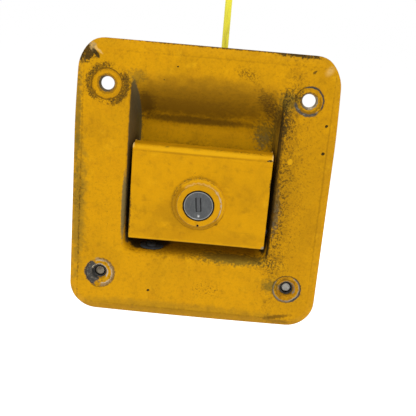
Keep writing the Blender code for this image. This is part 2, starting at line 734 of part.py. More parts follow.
def make_torsion_spring():
    """Coils round the pin, one leg on the paddle's face and one on the dish floor."""
    centre = Vector((PIVOT.y, PIVOT.z))

    def on_coil(turn):
        return centre + TORSION_RADIUS * Vector((math.cos(turn), math.sin(turn)))

    def along(turn):
        return Vector((-math.sin(turn), math.cos(turn)))

    steps = 52
    last_x = TORSION_X + TORSION_PITCH * (TORSION_END - TORSION_START) / (2 * math.pi)
    first = on_coil(TORSION_START) - along(TORSION_START) * TORSION_LEG
    last = on_coil(TORSION_END) + along(TORSION_END) * TORSION_LEG * 0.93
    points = [(TORSION_X, first.x, first.y)]
    for step in range(steps + 1):
        share = step / steps
        spot = on_coil(TORSION_START + share * (TORSION_END - TORSION_START))
        points.append((TORSION_X + share * (last_x - TORSION_X), spot.x, spot.y))
    points.append((last_x, last.x, last.y))
    return wire("paddle_spring", points, TORSION_WIRE, 1, "spring_steel")


def make_lock():
    """The fixed pieces of the lock, in the paddle's face."""
    centre = (0.0, LOCK_Z)
    gap_face = PADDLE_FACE - FIT_GAP
    collar = make_object("lock_collar", turned([
        (HOUSING_BORE + 0.4 * MM, COLLAR_FRONT + 0.3 * MM), (HOUSING_BORE + 0.7 * MM, COLLAR_FRONT),
        (COLLAR_TOP_RADIUS - 0.5 * MM, COLLAR_FRONT), (COLLAR_TOP_RADIUS, COLLAR_FRONT + 0.4 * MM),
        (COLLAR_TOP_RADIUS + 0.5 * MM, COLLAR_FRONT + 1.3 * MM),
        (COLLAR_BASE_RADIUS, gap_face - 0.3 * MM), (COLLAR_BASE_RADIUS, gap_face),
        (HOUSING_BORE + 0.4 * MM, gap_face),
    ], centre, ROUND_SIDES), "yellow_paint")
    housing = make_object("lock_housing", turned([
        (HOUSING_BORE, gap_face + FIT_GAP), (HOUSING_RADIUS, gap_face + FIT_GAP),
        (HOUSING_RADIUS, HOUSING_BACK), (HOUSING_BORE, HOUSING_BACK),
    ], centre, ROUND_SIDES), "lock_steel")
    nut_low = PADDLE_FACE + PADDLE_SHEET + FIT_GAP
    nut_high = nut_low + LOCK_NUT_THICKNESS
    nut = make_object("lock_nut", rod("Y", centre, LOCK_NUT_CORNERS, nut_low, nut_high, 6), "zinc_steel")
    cut(nut, rod("Y", centre, HOUSING_RADIUS + FIT_GAP, nut_low - MM, nut_high + MM, ROUND_SIDES))
    return [collar, housing, nut]


# ---------------------------------------------------------------- plug body

def make_plug():
    centre = (0.0, LOCK_Z)
    edge = 0.6 * MM
    plug = make_object("key_plug", turned([
        (0.0, PLUG_FRONT), (PLUG_RADIUS - edge, PLUG_FRONT), (PLUG_RADIUS, PLUG_FRONT + edge),
        (PLUG_RADIUS, PLUG_BACK), (0.0, PLUG_BACK),
    ], centre, ROUND_SIDES), "lock_steel")
    half = KEYWAY_WIDTH / 2
    tall = (LOCK_Z - KEYWAY_HEIGHT / 2, LOCK_Z + KEYWAY_HEIGHT / 2)
    cut(plug, block((-half, half), (PLUG_FRONT - MM, PLUG_FRONT + KEYWAY_DEPTH), tall))
    cut(plug, rod("Y", centre, CAM_SCREW_RADIUS + FIT_GAP, CAM_SCREW_END - 0.5 * MM, PLUG_BACK + MM))
    return plug


def make_cam():
    """The lock cam: a hub with one arm, pointing up when the paddle is free."""
    centre = (0.0, LOCK_Z)
    cam = make_object("lock_cam", rod("Y", centre, CAM_HUB_RADIUS, CAM_FRONT, CAM_BACK), "zinc_steel")
    half = CAM_WIDTH / 2
    corner = 1.5 * MM
    tip = LOCK_Z + CAM_REACH
    arm = [(-half, LOCK_Z), (half, LOCK_Z), (half, tip - corner), (half - corner, tip),
           (corner - half, tip), (-half, tip - corner)]
    add(cam, prism(arm, "Y", CAM_FRONT, CAM_BACK))
    hole = CAM_SCREW_RADIUS + FIT_GAP
    cut(cam, rod("Y", centre, hole, CAM_FRONT - MM, CAM_BACK + MM))
    washer = make_object("cam_washer", turned([
        (hole, CAM_WASHER_LOW), (CAM_WASHER_RADIUS, CAM_WASHER_LOW),
        (CAM_WASHER_RADIUS, CAM_WASHER_HIGH), (hole, CAM_WASHER_HIGH),
    ], centre, SMALL_SIDES), "zinc_steel")
    screw = make_object("cam_screw", turned([
        (0.0, CAM_SCREW_END), (CAM_SCREW_RADIUS, CAM_SCREW_END), (CAM_SCREW_RADIUS, CAM_HEAD_LOW),
        (CAM_HEAD_RADIUS, CAM_HEAD_LOW), (CAM_HEAD_RADIUS, CAM_HEAD_HIGH - 0.5 * MM),
        (CAM_HEAD_RADIUS - 0.8 * MM, CAM_HEAD_HIGH), (0.0, CAM_HEAD_HIGH),
    ], centre, SMALL_SIDES), "zinc_steel")
    return [cam, washer, screw]


# ---------------------------------------------------------------- slide body

def make_slide():
    plate = rounded_outline(-SLIDE_HALF_WIDTH, SLIDE_HALF_WIDTH, SLIDE_BOTTOM, SLIDE_TOP, [2.0 * MM] * 4)
    slide = make_object("slide_plate", prism(plate, "Y", SLIDE_FRONT, SLIDE_BACK), "zinc_steel")
    window = LEVER_THICKNESS / 2 + 1.4 * MM
    reach = LEVER_NOSE_RADIUS + FIT_GAP
    cut(slide, block((-window, window), (SLIDE_FRONT - MM, SLIDE_BACK + MM), (NOSE_Z - reach, NOSE_Z + reach)))
    tab = (SPRING_TAB_TOP - 1.5 * MM, SPRING_TAB_TOP)
    add(slide, block(SPRING_TAB_X, (SLIDE_BACK - 0.5 * MM, SLIDE_BACK + 6.0 * MM), tab))
    for z in BOLT_RIVET_Z:
        cut(slide, rod("Y", (0.0, z), RIVET_RADIUS + FIT_GAP, SLIDE_FRONT - MM, SLIDE_BACK + MM))
    return slide


def make_latch_bolt():
    """The bolt, flush with the slide's front, with a nose slanted to ride over the striker."""
    step = SLIDE_BOTTOM - FIT_GAP
    outline = [
        (BOLT_FRONT, BOLT_TOP), (BOLT_FRONT, step), (SLIDE_FRONT, step), (SLIDE_FRONT, BOLT_END),
        (SLIDE_FRONT + BOLT_TIP_THICKNESS, BOLT_END), (BOLT_BACK, BOLT_RAMP), (BOLT_BACK, BOLT_TOP),
    ]
    bolt = make_object("latch_bolt", prism(outline, "X", -BOLT_HALF_WIDTH, BOLT_HALF_WIDTH), "bright_steel")
    for z in BOLT_RIVET_Z:
        cut(bolt, rod("Y", (0.0, z), RIVET_RADIUS + FIT_GAP, BOLT_FRONT - MM, BOLT_BACK + MM))
    low = SLIDE_FRONT - FIT_GAP
    high = BOLT_BACK + FIT_GAP
    rivets = [
        rivet("bolt_rivet_%d" % (index + 1), Vector((0.0, (low + high) / 2, z)), "Y", high - low)
        for index, z in enumerate(BOLT_RIVET_Z)
    ]
    return [bolt] + rivets


def make_cable_clamp():
    left = CABLE_X - 5.5 * MM
    right = CABLE_X + 4.5 * MM
    front = SLIDE_BACK + FIT_GAP
    outline = rounded_outline(left, right, front, CLAMP_BACK, [0.8 * MM] * 4)
    clamp = make_object("cable_clamp", prism(outline, "Z", CLAMP_LOW, CLAMP_HIGH), "zinc_steel")
    bore = CABLE_DIAMETER / 2 + FIT_GAP
    cut(clamp, rod("Z", (CABLE_X, CABLE_Y), bore, CLAMP_LOW - MM, CLAMP_HIGH + MM))
    middle = (CLAMP_LOW + CLAMP_HIGH) / 2
    shank = CLAMP_SCREW_RADIUS
    cut(clamp, rod("Y", (CABLE_X, middle), shank + FIT_GAP, CABLE_Y, CLAMP_BACK + MM))
    tip = CABLE_Y + bore
    head = CLAMP_BACK + FIT_GAP
    screw = make_object("clamp_screw", turned([
        (0.0, tip), (shank, tip), (shank, head), (CLAMP_HEAD_RADIUS, head),
        (CLAMP_HEAD_RADIUS, head + 1.6 * MM), (CLAMP_HEAD_RADIUS - 0.7 * MM, head + 2.0 * MM),
        (0.0, head + 2.0 * MM),
    ], (CABLE_X, middle), SMALL_SIDES), "zinc_steel")
    return [clamp, screw]


def make_cable():
    steps = 12
    points = [
        (CABLE_X, CABLE_Y, CABLE_LOW + (CABLE_HIGH - CABLE_LOW) * step / steps)
        for step in range(steps + 1)
    ]
    return wire("release_cable", points, CABLE_DIAMETER, 2, "cable_sleeve")


def make_cable_eye():
    """The swaged sleeve on the cable's far end, with an eye for its pin."""
    sleeve = rod("Z", (CABLE_X, CABLE_Y), EYE_SLEEVE_RADIUS, EYE_SLEEVE_LOW, EYE_SLEEVE_HIGH)
    eye = make_object("cable_eye", sleeve, "bright_steel")
    low = CABLE_Y - EYE_THICKNESS / 2
    high = CABLE_Y + EYE_THICKNESS / 2
    add(eye, rod("Y", (CABLE_X, EYE_CENTRE_Z), EYE_OUTER, low, high, ROUND_SIDES))
    cut(eye, rod("Y", (CABLE_X, EYE_CENTRE_Z), EYE_HOLE, low - MM, high + MM, ROUND_SIDES))
    bore = CABLE_DIAMETER / 2 + FIT_GAP
    cut(eye, rod("Z", (CABLE_X, CABLE_Y), bore, EYE_SLEEVE_LOW - MM, CABLE_HIGH + FIT_GAP))
    return eye


def make_slide_spring():
    low = SPRING_TAB_TOP + FIT_GAP + SPRING_WIRE / 2
    high = BRACKET_TOP - BRACKET_SHEET - FIT_GAP - SPRING_WIRE / 2
    steps_per_turn = 10
    steps = SPRING_TURNS * steps_per_turn
    points = []
    for step in range(steps + 1):
        turn = 2 * math.pi * step / steps_per_turn
        points.append((
            SPRING_CENTRE[0] + SPRING_RADIUS * math.cos(turn),
            SPRING_CENTRE[1] + SPRING_RADIUS * math.sin(turn),
            low + (high - low) * step / steps,
        ))
    return wire("slide_spring", points, SPRING_WIRE, 1, "spring_steel")


# ---------------------------------------------------------------- assembly

def hang_placed_on(axis, items, world_of_axis):
    """For pieces that were placed by their location."""
    for item in items:
        item.location = item.location - world_of_axis
        item.parent = axis


def main():
    clear_scene()

    make_dish()
    make_gasket()
    make_travel_stop()
    make_lower_fasteners()
    make_pin_and_clips()
    make_bracket()
    make_bracket_rivets()
    make_lock_keeper()
    make_slide_spring()

    paddle_axis = make_axis("paddle_axis", PIVOT)
    hang_on(paddle_axis, [make_paddle(), make_lift_lever(), make_torsion_spring()] + make_lock(), PIVOT)
    hang_placed_on(paddle_axis, make_lever_rivets(), PIVOT)

    plug_place = Vector((0.0, 0.0, LOCK_Z))
    plug_axis = make_axis("plug_axis", plug_place - PIVOT)
    plug_axis.parent = paddle_axis
    hang_on(plug_axis, [make_plug()] + make_cam(), plug_place)

    slide_place = Vector((0.0, NOSE_Y, NOSE_Z))
    slide_axis = make_axis("slide_axis", slide_place)
    bolt, *bolt_rivets = make_latch_bolt()
    hang_on(slide_axis, [make_slide(), bolt, make_cable(), make_cable_eye()] + make_cable_clamp(), slide_place)
    hang_placed_on(slide_axis, bolt_rivets, slide_place)


main()
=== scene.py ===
import math

import bmesh
import bpy
from mathutils import Matrix, Vector


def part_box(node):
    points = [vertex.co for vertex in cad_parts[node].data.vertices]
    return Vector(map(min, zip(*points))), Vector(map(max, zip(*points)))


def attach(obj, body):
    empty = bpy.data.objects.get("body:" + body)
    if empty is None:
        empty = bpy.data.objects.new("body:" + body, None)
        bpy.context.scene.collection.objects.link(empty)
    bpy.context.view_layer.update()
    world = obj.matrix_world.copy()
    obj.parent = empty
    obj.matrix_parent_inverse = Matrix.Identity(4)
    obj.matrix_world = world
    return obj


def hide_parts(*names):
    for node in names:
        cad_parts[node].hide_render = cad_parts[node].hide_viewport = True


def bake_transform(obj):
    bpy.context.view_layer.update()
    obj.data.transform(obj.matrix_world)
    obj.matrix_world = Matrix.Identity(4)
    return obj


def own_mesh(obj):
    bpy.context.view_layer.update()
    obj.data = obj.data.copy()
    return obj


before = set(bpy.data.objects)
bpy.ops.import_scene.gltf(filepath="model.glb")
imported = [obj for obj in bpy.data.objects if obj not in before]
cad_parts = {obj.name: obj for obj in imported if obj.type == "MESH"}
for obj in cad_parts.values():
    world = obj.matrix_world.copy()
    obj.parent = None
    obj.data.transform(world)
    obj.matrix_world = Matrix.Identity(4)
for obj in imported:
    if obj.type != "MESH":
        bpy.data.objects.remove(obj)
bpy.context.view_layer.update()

mm = 0.001
fullTurn = 2 * math.pi


def boxOf(node):  # a node's corners in millimetres
    low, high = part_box(node)
    return low / mm, high / mm


def middleOf(node):
    low, high = boxOf(node)
    return (low + high) / 2


# the camera looks at the lock from the front and a little above it

cameraSettings = {
    "place": (9.6, -325.7, 88.0),
    "yaw": 0.90,
    "pitch": -16.66,
    "roll": 4.95,
    "lens": 60.67,
}


def makeCamera(look):
    data = bpy.data.cameras.new("viewCamera")
    data.lens = look["lens"]
    data.clip_start = 0.01
    data.clip_end = 50.0
    camera = bpy.data.objects.new("viewCamera", data)
    bpy.context.collection.objects.link(camera)
    level = Matrix.Rotation(math.pi / 2, 4, "X")
    yaw = Matrix.Rotation(math.radians(look["yaw"]), 4, "Z")
    pitch = Matrix.Rotation(math.radians(look["pitch"]), 4, "X")
    roll = Matrix.Rotation(math.radians(look["roll"]), 4, "Z")
    place = Matrix.Translation(Vector(look["place"]) * mm)
    camera.matrix_world = place @ yaw @ pitch @ level @ roll
    bpy.context.scene.camera = camera


makeCamera(cameraSettings)
print("camera placed")


# small helpers for shader trees

def put(tree, kind, links=None, **settings):
    node = tree.nodes.new("ShaderNode" + kind)
    for name, value in settings.items():
        setattr(node, name, value)
    for socket, value in (links or {}).items():
        if isinstance(value, bpy.types.NodeSocket):
            tree.links.new(value, node.inputs[socket])
        else:
            node.inputs[socket].default_value = value
    return node


def calc(tree, operation, first, second=0.5, clamp=False):
    return put(tree, "Math", {0: first, 1: second}, operation=operation, use_clamp=clamp).outputs[0]


def vectorCalc(tree, operation, first, second=(0.0, 0.0, 0.0)):
    return put(tree, "VectorMath", {0: first, 1: second}, operation=operation).outputs


def ranged(tree, value, low, high, start=0.0, end=1.0):
    return put(tree, "MapRange", {
        "Value": value, "From Min": low, "From Max": high, "To Min": start, "To Max": end,
    }, interpolation_type="SMOOTHSTEP").outputs["Result"]


def mixColour(tree, share, first, second, how="MIX"):
    return put(tree, "Mix", {0: share, 6: first, 7: second}, data_type="RGBA", blend_type=how).outputs[2]


def mixValue(tree, share, first, second):
    return put(tree, "Mix", {0: share, 2: first, 3: second}, data_type="FLOAT").outputs[0]


def startGroup(name, inputs, output):
    group = bpy.data.node_groups.new(name, "ShaderNodeTree")
    for label, value in inputs.items():
        kind = "NodeSocketVector" if isinstance(value, tuple) else "NodeSocketFloat"
        socket = group.interface.new_socket(label, in_out="INPUT", socket_type=kind)
        socket.default_value = value
    group.interface.new_socket(output, in_out="OUTPUT", socket_type="NodeSocketFloat")
    return group, group.nodes.new("NodeGroupInput").outputs, group.nodes.new("NodeGroupOutput").inputs


# shared effects; every place and size in them is in millimetres

def makeMottleGroup():
    group, given, out = startGroup("mottle", {
        "Place": (0.0, 0.0, 0.0), "Size": 10.0, "Detail": 3.0, "Low": 0.35, "High": 0.65,
    }, "Value")
    noise = put(group, "TexNoise", {
        "Vector": given["Place"], "Scale": calc(group, "DIVIDE", 1.0, given["Size"]),
        "Detail": given["Detail"], "Roughness": 0.6,
    })
    group.links.new(ranged(group, noise.outputs["Fac"], given["Low"], given["High"]), out["Value"])
    return group


def makeSpeckGroup():
    group, given, out = startGroup("specks", {
        "Place": (0.0, 0.0, 0.0), "Size": 1.0, "Amount": 0.3, "Edge": 0.04,
    }, "Mask")
    noise = put(group, "TexNoise", {
        "Vector": given["Place"], "Scale": calc(group, "DIVIDE", 1.0, given["Size"]),
        "Detail": 4.0, "Roughness": 0.68,
    })
    least, most = 0.80, 0.42  # noise level that shows at no and at full amount
    level = calc(group, "ADD", least, calc(group, "MULTIPLY", given["Amount"], most - least))
    top = calc(group, "ADD", level, given["Edge"])
    group.links.new(ranged(group, noise.outputs["Fac"], level, top), out["Mask"])
    return group


def wobbleOf(group, given):
    return calc(group, "MULTIPLY", calc(group, "SUBTRACT", given["Break"], 0.5), given["Ragged"])


def makeSpotGroup():
    group, given, out = startGroup("spot", {
        "Place": (0.0, 0.0, 0.0), "Centre": (0.0, 0.0, 0.0), "Radii": (5.0, 5.0, 5.0),
        "Turn": 0.0, "Edge": 0.3, "Ragged": 0.3, "Break": 0.5,
    }, "Mask")
    away = vectorCalc(group, "SUBTRACT", given["Place"], given["Centre"])[0]
    turned = put(group, "VectorRotate", {
        "Vector": away, "Axis": (0.0, 1.0, 0.0), "Angle": given["Turn"],
    }, rotation_type="AXIS_ANGLE")
    scaled = vectorCalc(group, "DIVIDE", turned.outputs[0], given["Radii"])[0]
    length = vectorCalc(group, "LENGTH", scaled)["Value"]
    reach = calc(group, "ADD", length, wobbleOf(group, given))
    inner = calc(group, "SUBTRACT", 1.0, given["Edge"])
    outer = calc(group, "ADD", 1.0, given["Edge"])
    group.links.new(ranged(group, reach, inner, outer, 1.0, 0.0), out["Mask"])
    return group


def makeRingGroup():
    group, given, out = startGroup("ringWear", {
        "Place": (0.0, 0.0, 0.0), "Centre": (0.0, 0.0, 0.0), "Radius": 7.0, "Width": 1.0,
        "Toward": (0.0, 0.0, 1.0), "Reach": -1.3, "Ragged": 1.0, "Break": 0.5,
    }, "Mask")
    away = vectorCalc(group, "SUBTRACT", given["Place"], given["Centre"])[0]
    flat = vectorCalc(group, "MULTIPLY", away, (1.0, 0.0, 1.0))[0]
    length = vectorCalc(group, "LENGTH", flat)["Value"]
    wobble = wobbleOf(group, given)
    off = calc(group, "SUBTRACT", calc(group, "ADD", length, wobble), given["Radius"])
    off = calc(group, "ABSOLUTE", off)
    inner = calc(group, "MULTIPLY", given["Width"], 0.3)
    outer = calc(group, "MULTIPLY", given["Width"], 0.65)
    band = ranged(group, off, inner, outer, 1.0, 0.0)
    unit = vectorCalc(group, "NORMALIZE", flat)[0]
    facing = vectorCalc(group, "DOT_PRODUCT", unit, given["Toward"])["Value"]
    facing = calc(group, "ADD", facing, calc(group, "MULTIPLY", wobble, 0.3))
    start = calc(group, "SUBTRACT", given["Reach"], 0.1)
    end = calc(group, "ADD", given["Reach"], 0.1)
    group.links.new(calc(group, "MULTIPLY", band, ranged(group, facing, start, end)), out["Mask"])
    return group


def makeEdgeGroup():
    group, given, out = startGroup("edgeWear", {
        "Reach": 0.6, "Low": 0.02, "High": 0.12, "Break": 0.5,
    }, "Mask")
    bevel = put(group, "Bevel", {"Radius": calc(group, "MULTIPLY", given["Reach"], mm)}, samples=6)
    facing = put(group, "NewGeometry").outputs["Normal"]
    same = vectorCalc(group, "DOT_PRODUCT", bevel.outputs[0], facing)["Value"]
    bend = calc(group, "SUBTRACT", 1.0, same)
    bent = ranged(group, bend, given["Low"], given["High"])
    group.links.new(ranged(group, calc(group, "ADD", bent, given["Break"]), 0.95, 1.3), out["Mask"])
    return group


def makeCreviceGroup():
    group, given, out = startGroup("creviceDirt", {
        "Reach": 4.0, "Low": 0.35, "High": 0.9, "Break": 0.5, "Ragged": 0.3,
    }, "Mask")
    shade = put(group, "AmbientOcclusion", {
        "Distance": calc(group, "MULTIPLY", given["Reach"], mm),
    }, samples=8, only_local=True)
    closed = ranged(group, shade.outputs["AO"], given["Low"], given["High"], 1.0, 0.0)
    group.links.new(calc(group, "SUBTRACT", closed, wobbleOf(group, given), True), out["Mask"])
    return group


groups = {
    "mottle": makeMottleGroup(),
    "specks": makeSpeckGroup(),
    "spot": makeSpotGroup(),
    "ring": makeRingGroup(),
    "edges": makeEdgeGroup(),
    "crevices": makeCreviceGroup(),
}


# a finish is a material built up in coats, each let through by a mask

def startFinish(name, colour, roughness, metallic=0.0, **shaderValues):
    material = bpy.data.materials.new(name)
    material.use_nodes = True
    tree = material.node_tree
    shader = tree.nodes["Principled BSDF"]
    for socket, value in shaderValues.items():
        shader.inputs[socket.replace("_", " ")].default_value = value
    own = put(tree, "TexCoord").outputs["Object"]
    return {
        "material": material, "tree": tree, "shader": shader,
        "place": put(tree, "VectorMath", {0: own, "Scale": 1 / mm}, operation="SCALE").outputs[0],
        "colour": (*colour, 1.0), "roughness": roughness, "metallic": metallic, "height": 0.0,
    }


def effect(finish, kind, **values):
    tree = finish["tree"]
    node = tree.nodes.new("ShaderNodeGroup")
    node.node_tree = groups[kind]
    if "Place" in node.inputs and "Place" not in values:
        values["Place"] = finish["place"]
    for socket, value in values.items():
        if isinstance(value, bpy.types.NodeSocket):
            tree.links.new(value, node.inputs[socket])
        else:
            node.inputs[socket].default_value = value
    return node.outputs[0]


def coat(finish, mask, colour=None, roughness=None, metallic=None, height=None, how="MIX"):
    tree = finish["tree"]
    if colour is not None:
        colour = (*colour, 1.0) if isinstance(colour, tuple) else colour
        finish["colour"] = mixColour(tree, mask, finish["colour"], colour, how)
    if roughness is not None:
        finish["roughness"] = mixValue(tree, mask, finish["roughness"], roughness)
    if metallic is not None:
        finish["metallic"] = mixValue(tree, mask, finish["metallic"], metallic)
    if height is not None:
        finish["height"] = calc(tree, "ADD", finish["height"], calc(tree, "MULTIPLY", mask, height))


def both(finish, *masks):
    mask = masks[0]
    for other in masks[1:]:
        mask = calc(finish["tree"], "MULTIPLY", mask, other, True)
    return mask


def layer(finish, kind, share, colour=None, roughness=None, metallic=None, height=None, how="MIX",
          **values):  # an effect laid on at a share of its strength
    mask = both(finish, effect(finish, kind, **values), share)
    coat(finish, mask, colour, roughness, metallic, height, how)


def stretched(finish, factors):
    return put(finish["tree"], "Mapping", {"Vector": finish["place"], "Scale": factors}).outputs["Vector"]


def endFinish(finish, bump=0.5, depth=0.25):
    tree, shader = finish["tree"], finish["shader"]
    for socket, name in (("Base Color", "colour"), ("Roughness", "roughness"), ("Metallic", "metallic")):
        value = finish[name]
        if isinstance(value, bpy.types.NodeSocket):
            tree.links.new(value, shader.inputs[socket])
        else:
            shader.inputs[socket].default_value = value
    if isinstance(finish["height"], bpy.types.NodeSocket):
        bumps = put(tree, "Bump", {"Strength": bump, "Distance": depth * mm, "Height": finish["height"]})
        tree.links.new(bumps.outputs["Normal"], shader.inputs["Normal"])
    return finish["material"]


# old yellow paint, with the damage of each painted piece laid over it, and with painted shade and painted
# highlights among those marks

paintColours = {
    "fresh": (0.475, 0.224, 0.0020),
    "bright": (0.54, 0.275, 0.0045),
    "faded": (0.395, 0.190, 0.0024),
    "warm": (0.425, 0.192, 0.0026),
    "filmAndShade": (0.245, 0.116, 0.0030),
    "brown": (0.095, 0.044, 0.0035),
    "sootAndShade": (0.020, 0.014, 0.006),
    "olive": (0.085, 0.068, 0.012),
    "greyGreen": (0.125, 0.118, 0.058),
    "greyBrown": (0.058, 0.048, 0.026),
    "roll": (0.080, 0.076, 0.040),
    "pale": (0.62, 0.42, 0.16),
    "bareDarkAndShade": (0.036, 0.042, 0.046),
    "bareGrey": (0.17, 0.16, 0.13),
    "barePale": (0.42, 0.38, 0.29),
    "rust": (0.16, 0.050, 0.007),
}


def startPaint(name):
    c = paintColours
    paint = startFinish(
        name, c["fresh"], 0.50, Specular_IOR_Level=0.20, Specular_Tint=(1.0, 0.60, 0.09, 1.0))
    layer(paint, "mottle", 0.75, c["faded"], Size=26.0, Low=0.40, High=0.68)  # broad
    middle = effect(paint, "mottle", Size=7.0, Low=0.45, High=0.72, Detail=4.0)
    coat(paint, both(paint, middle, 0.55), c["warm"])
    layer(paint, "mottle", 0.50, c["filmAndShade"], Size=3.4, Low=0.50, High=0.78, Detail=6.0)  # stains
    layer(paint, "mottle", 0.45, c["filmAndShade"], Place=stretched(paint, (1.0, 1.0, 0.45)), Size=9.0, Low=0.52,
          High=0.80, Detail=6.0)
    fine = effect(paint, "mottle", Size=0.7, Low=0.42, High=0.72, Detail=4.0)
    coat(paint, both(paint, fine, 0.10), c["brown"])
    layer(paint, "mottle", 0.50, c["bright"], Size=5.0, Low=0.55, High=0.75, Detail=5.0)  # light
    coat(paint, middle, roughness=0.62, height=0.25)
    coat(paint, fine, height=0.10)
    paint["rough"] = effect(paint, "mottle", Size=1.3, Low=0.2, High=0.8, Detail=3.0)
    paint["coarse"] = effect(paint, "mottle", Size=4.0, Low=0.2, High=0.8, Detail=3.0)
    layer(paint, "specks", 0.6, c["brown"], 0.7, height=-0.2, Size=0.75, Amount=0.26, Edge=0.05)  # dust
    layer(paint, "specks", 0.8, c["sootAndShade"], 0.7, height=-0.3, Size=1.2, Amount=0.13, Edge=0.03)  # chips
    return paint


# marks on the paint: a dab is an oval patch, an arc is a band round a centre or a part of one;
# after the colour come its share, the softness of its edge (dabs only) and how ragged its outline is;
# specks are the size and amount of the dots that it is made of

def dab(centre, radii, colour, share=1.0, edge=0.3, ragged=0.5, **more):
    return {"centre": centre, "radii": radii, "colour": colour, "share": share, "edge": edge,
            "ragged": ragged, **more}


def arc(centre, radius, width, colour, share=1.0, ragged=0.6, **more):
    return {"centre": centre, "radius": radius, "width": width, "colour": colour, "share": share,
            "ragged": ragged, **more}


def paintMarkSpot(paint, paintMark):
    return effect(
        paint, "spot", Centre=paintMark["centre"], Radii=paintMark["radii"],
        Turn=math.radians(paintMark.get("turn", 0.0)), Edge=paintMark["edge"], Ragged=paintMark["ragged"],
        Break=paint[paintMark.get("grain", "rough")])


def paintMarkRing(paint, paintMark):
    return effect(
        paint, "ring", Centre=paintMark["centre"], Radius=paintMark["radius"], Width=paintMark["width"],
        Toward=tuple(Vector(paintMark.get("toward", (0.0, 0.0, 1.0))).normalized()),
        Reach=paintMark.get("reach", -1.3), Ragged=paintMark["ragged"],
        Break=paint[paintMark.get("grain", "rough")])


# lays each mark of a list: damage, dirt, painted shade and painted highlights alike
def addDamageAndPaintedLight(paint, paintMarks):
    for paintMark in paintMarks:
        mask = paintMarkRing(paint, paintMark) if "radius" in paintMark else paintMarkSpot(paint, paintMark)
        if "within" in paintMark:  # kept inside a second, round area
            centre, radius = paintMark["within"]
            mask = both(paint, mask, effect(
                paint, "spot", Centre=centre, Radii=(radius, radius, radius), Edge=0.05, Ragged=0.12,
                Break=paint["rough"]))
        if "specks" in paintMark:
            size, amount = paintMark["specks"]
            mask = both(paint, mask, effect(paint, "specks", Size=size, Amount=amount, Edge=0.05))
        mask = both(paint, mask, paintMark["share"])
        coat(paint, mask, paintColours[paintMark["colour"]], paintMark.get("roughness", 0.65),
             paintMark.get("metallic"), paintMark.get("height"))


# mesh helpers; shapes are made in millimetres and scaled once, at the end

def vertsIn(geom):
    return [v for v in geom if isinstance(v, bmesh.types.BMVert)]


def edgesIn(geom):
    return [e for e in geom if isinstance(e, bmesh.types.BMEdge)]


def sharpEdges(bm, least=30.0):
    limit = math.radians(least)
    return [e for e in bm.edges if e.is_manifold and e.calc_face_angle(0.0) > limit]


def softEdges(bm, width, least=30.0, segments=2):
    bmesh.ops.bevel(
        bm, geom=sharpEdges(bm, least), offset=width, offset_type="OFFSET", affect="EDGES",
        segments=segments, profile=0.5, material=-1, clamp_overlap=True)


def tidied(bm, gap=0.002):
    bmesh.ops.remove_doubles(bm, verts=bm.verts, dist=gap)
    bmesh.ops.recalc_face_normals(bm, faces=bm.faces)
    return bm


def flattened(bm, least=1.0):  # joins faces that lie in one plane
    bmesh.ops.dissolve_limit(
        bm, angle_limit=math.radians(least), verts=bm.verts, edges=bm.edges, delimit={"NORMAL"})
    return bm


def turnTo(bm, along, centre):
    turns = {"X": (math.pi / 2, "Y"), "Y": (-math.pi / 2, "X"), "Z": (0.0, "Z")}
    angle, axis = turns[along]
    matrix = Matrix.Translation(Vector(centre)) @ Matrix.Rotation(angle, 4, axis)
    bmesh.ops.transform(bm, matrix=matrix, verts=bm.verts)
    return bm


def turned(profile, centre, along="Y", steps=64):  # profile runs as (radius, place along the axis)
    bm = bmesh.new()
    verts = [bm.verts.new((radius, 0.0, height)) for radius, height in profile]
    edges = [bm.edges.new(pair) for pair in zip(verts, verts[1:])]
    if profile[0][0] > 0.0 and profile[-1][0] > 0.0:  # a ring closes on itself
        edges.append(bm.edges.new((verts[-1], verts[0])))
    bmesh.ops.spin(
        bm, geom=verts + edges, cent=(0.0, 0.0, 0.0), axis=(0.0, 0.0, 1.0), angle=fullTurn,
        steps=steps, use_merge=True, use_duplicate=False)
    return turnTo(tidied(bm), along, centre)


def prism(radius, low, high, centre, sides=6, along="Y", angle=0.0):
    bm = bmesh.new()
    bmesh.ops.create_cone(
        bm, cap_ends=True, cap_tris=False, segments=sides, radius1=radius, radius2=radius, depth=high - low)
    bmesh.ops.rotate(bm, verts=bm.verts, cent=(0.0, 0.0, 0.0), matrix=Matrix.Rotation(angle, 3, "Z"))
    bmesh.ops.translate(bm, verts=bm.verts, vec=(0.0, 0.0, (low + high) / 2))
    return turnTo(bm, along, centre)


def block(low, high):
    bm = bmesh.new()
    bmesh.ops.create_cube(bm, size=1.0)
    low, high = Vector(low), Vector(high)
    bmesh.ops.scale(bm, vec=high - low, verts=bm.verts)
    bmesh.ops.translate(bm, vec=(low + high) / 2, verts=bm.verts)
    return bm


def added(bm, *others):
    for other in others:
        mesh = bpy.data.meshes.new("part")
        other.to_mesh(mesh)
        other.free()
        bm.from_mesh(mesh)
        bpy.data.meshes.remove(mesh)
    return bm


def carved(bm, *cutters, how="DIFFERENCE"):
    for cutter in cutters:
        pair = []
        for shape in (bm, cutter):
            mesh = bpy.data.meshes.new("carving")
            shape.to_mesh(mesh)
            shape.free()
            pair.append(bpy.data.objects.new("carving", mesh))
            bpy.context.collection.objects.link(pair[-1])
        boolean = pair[0].modifiers.new("carve", "BOOLEAN")
        boolean.operation = how
        boolean.solver = "EXACT"
        boolean.object = pair[1]
        bpy.context.view_layer.update()
        result = pair[0].evaluated_get(bpy.context.evaluated_depsgraph_get())
        bm = bmesh.new()
        bm.from_mesh(result.to_mesh())
        result.to_mesh_clear()
        for thing in pair:
            mesh = thing.data
            bpy.data.objects.remove(thing)
            bpy.data.meshes.remove(mesh)
        bmesh.ops.remove_doubles(bm, verts=bm.verts, dist=0.0005)
    return bm


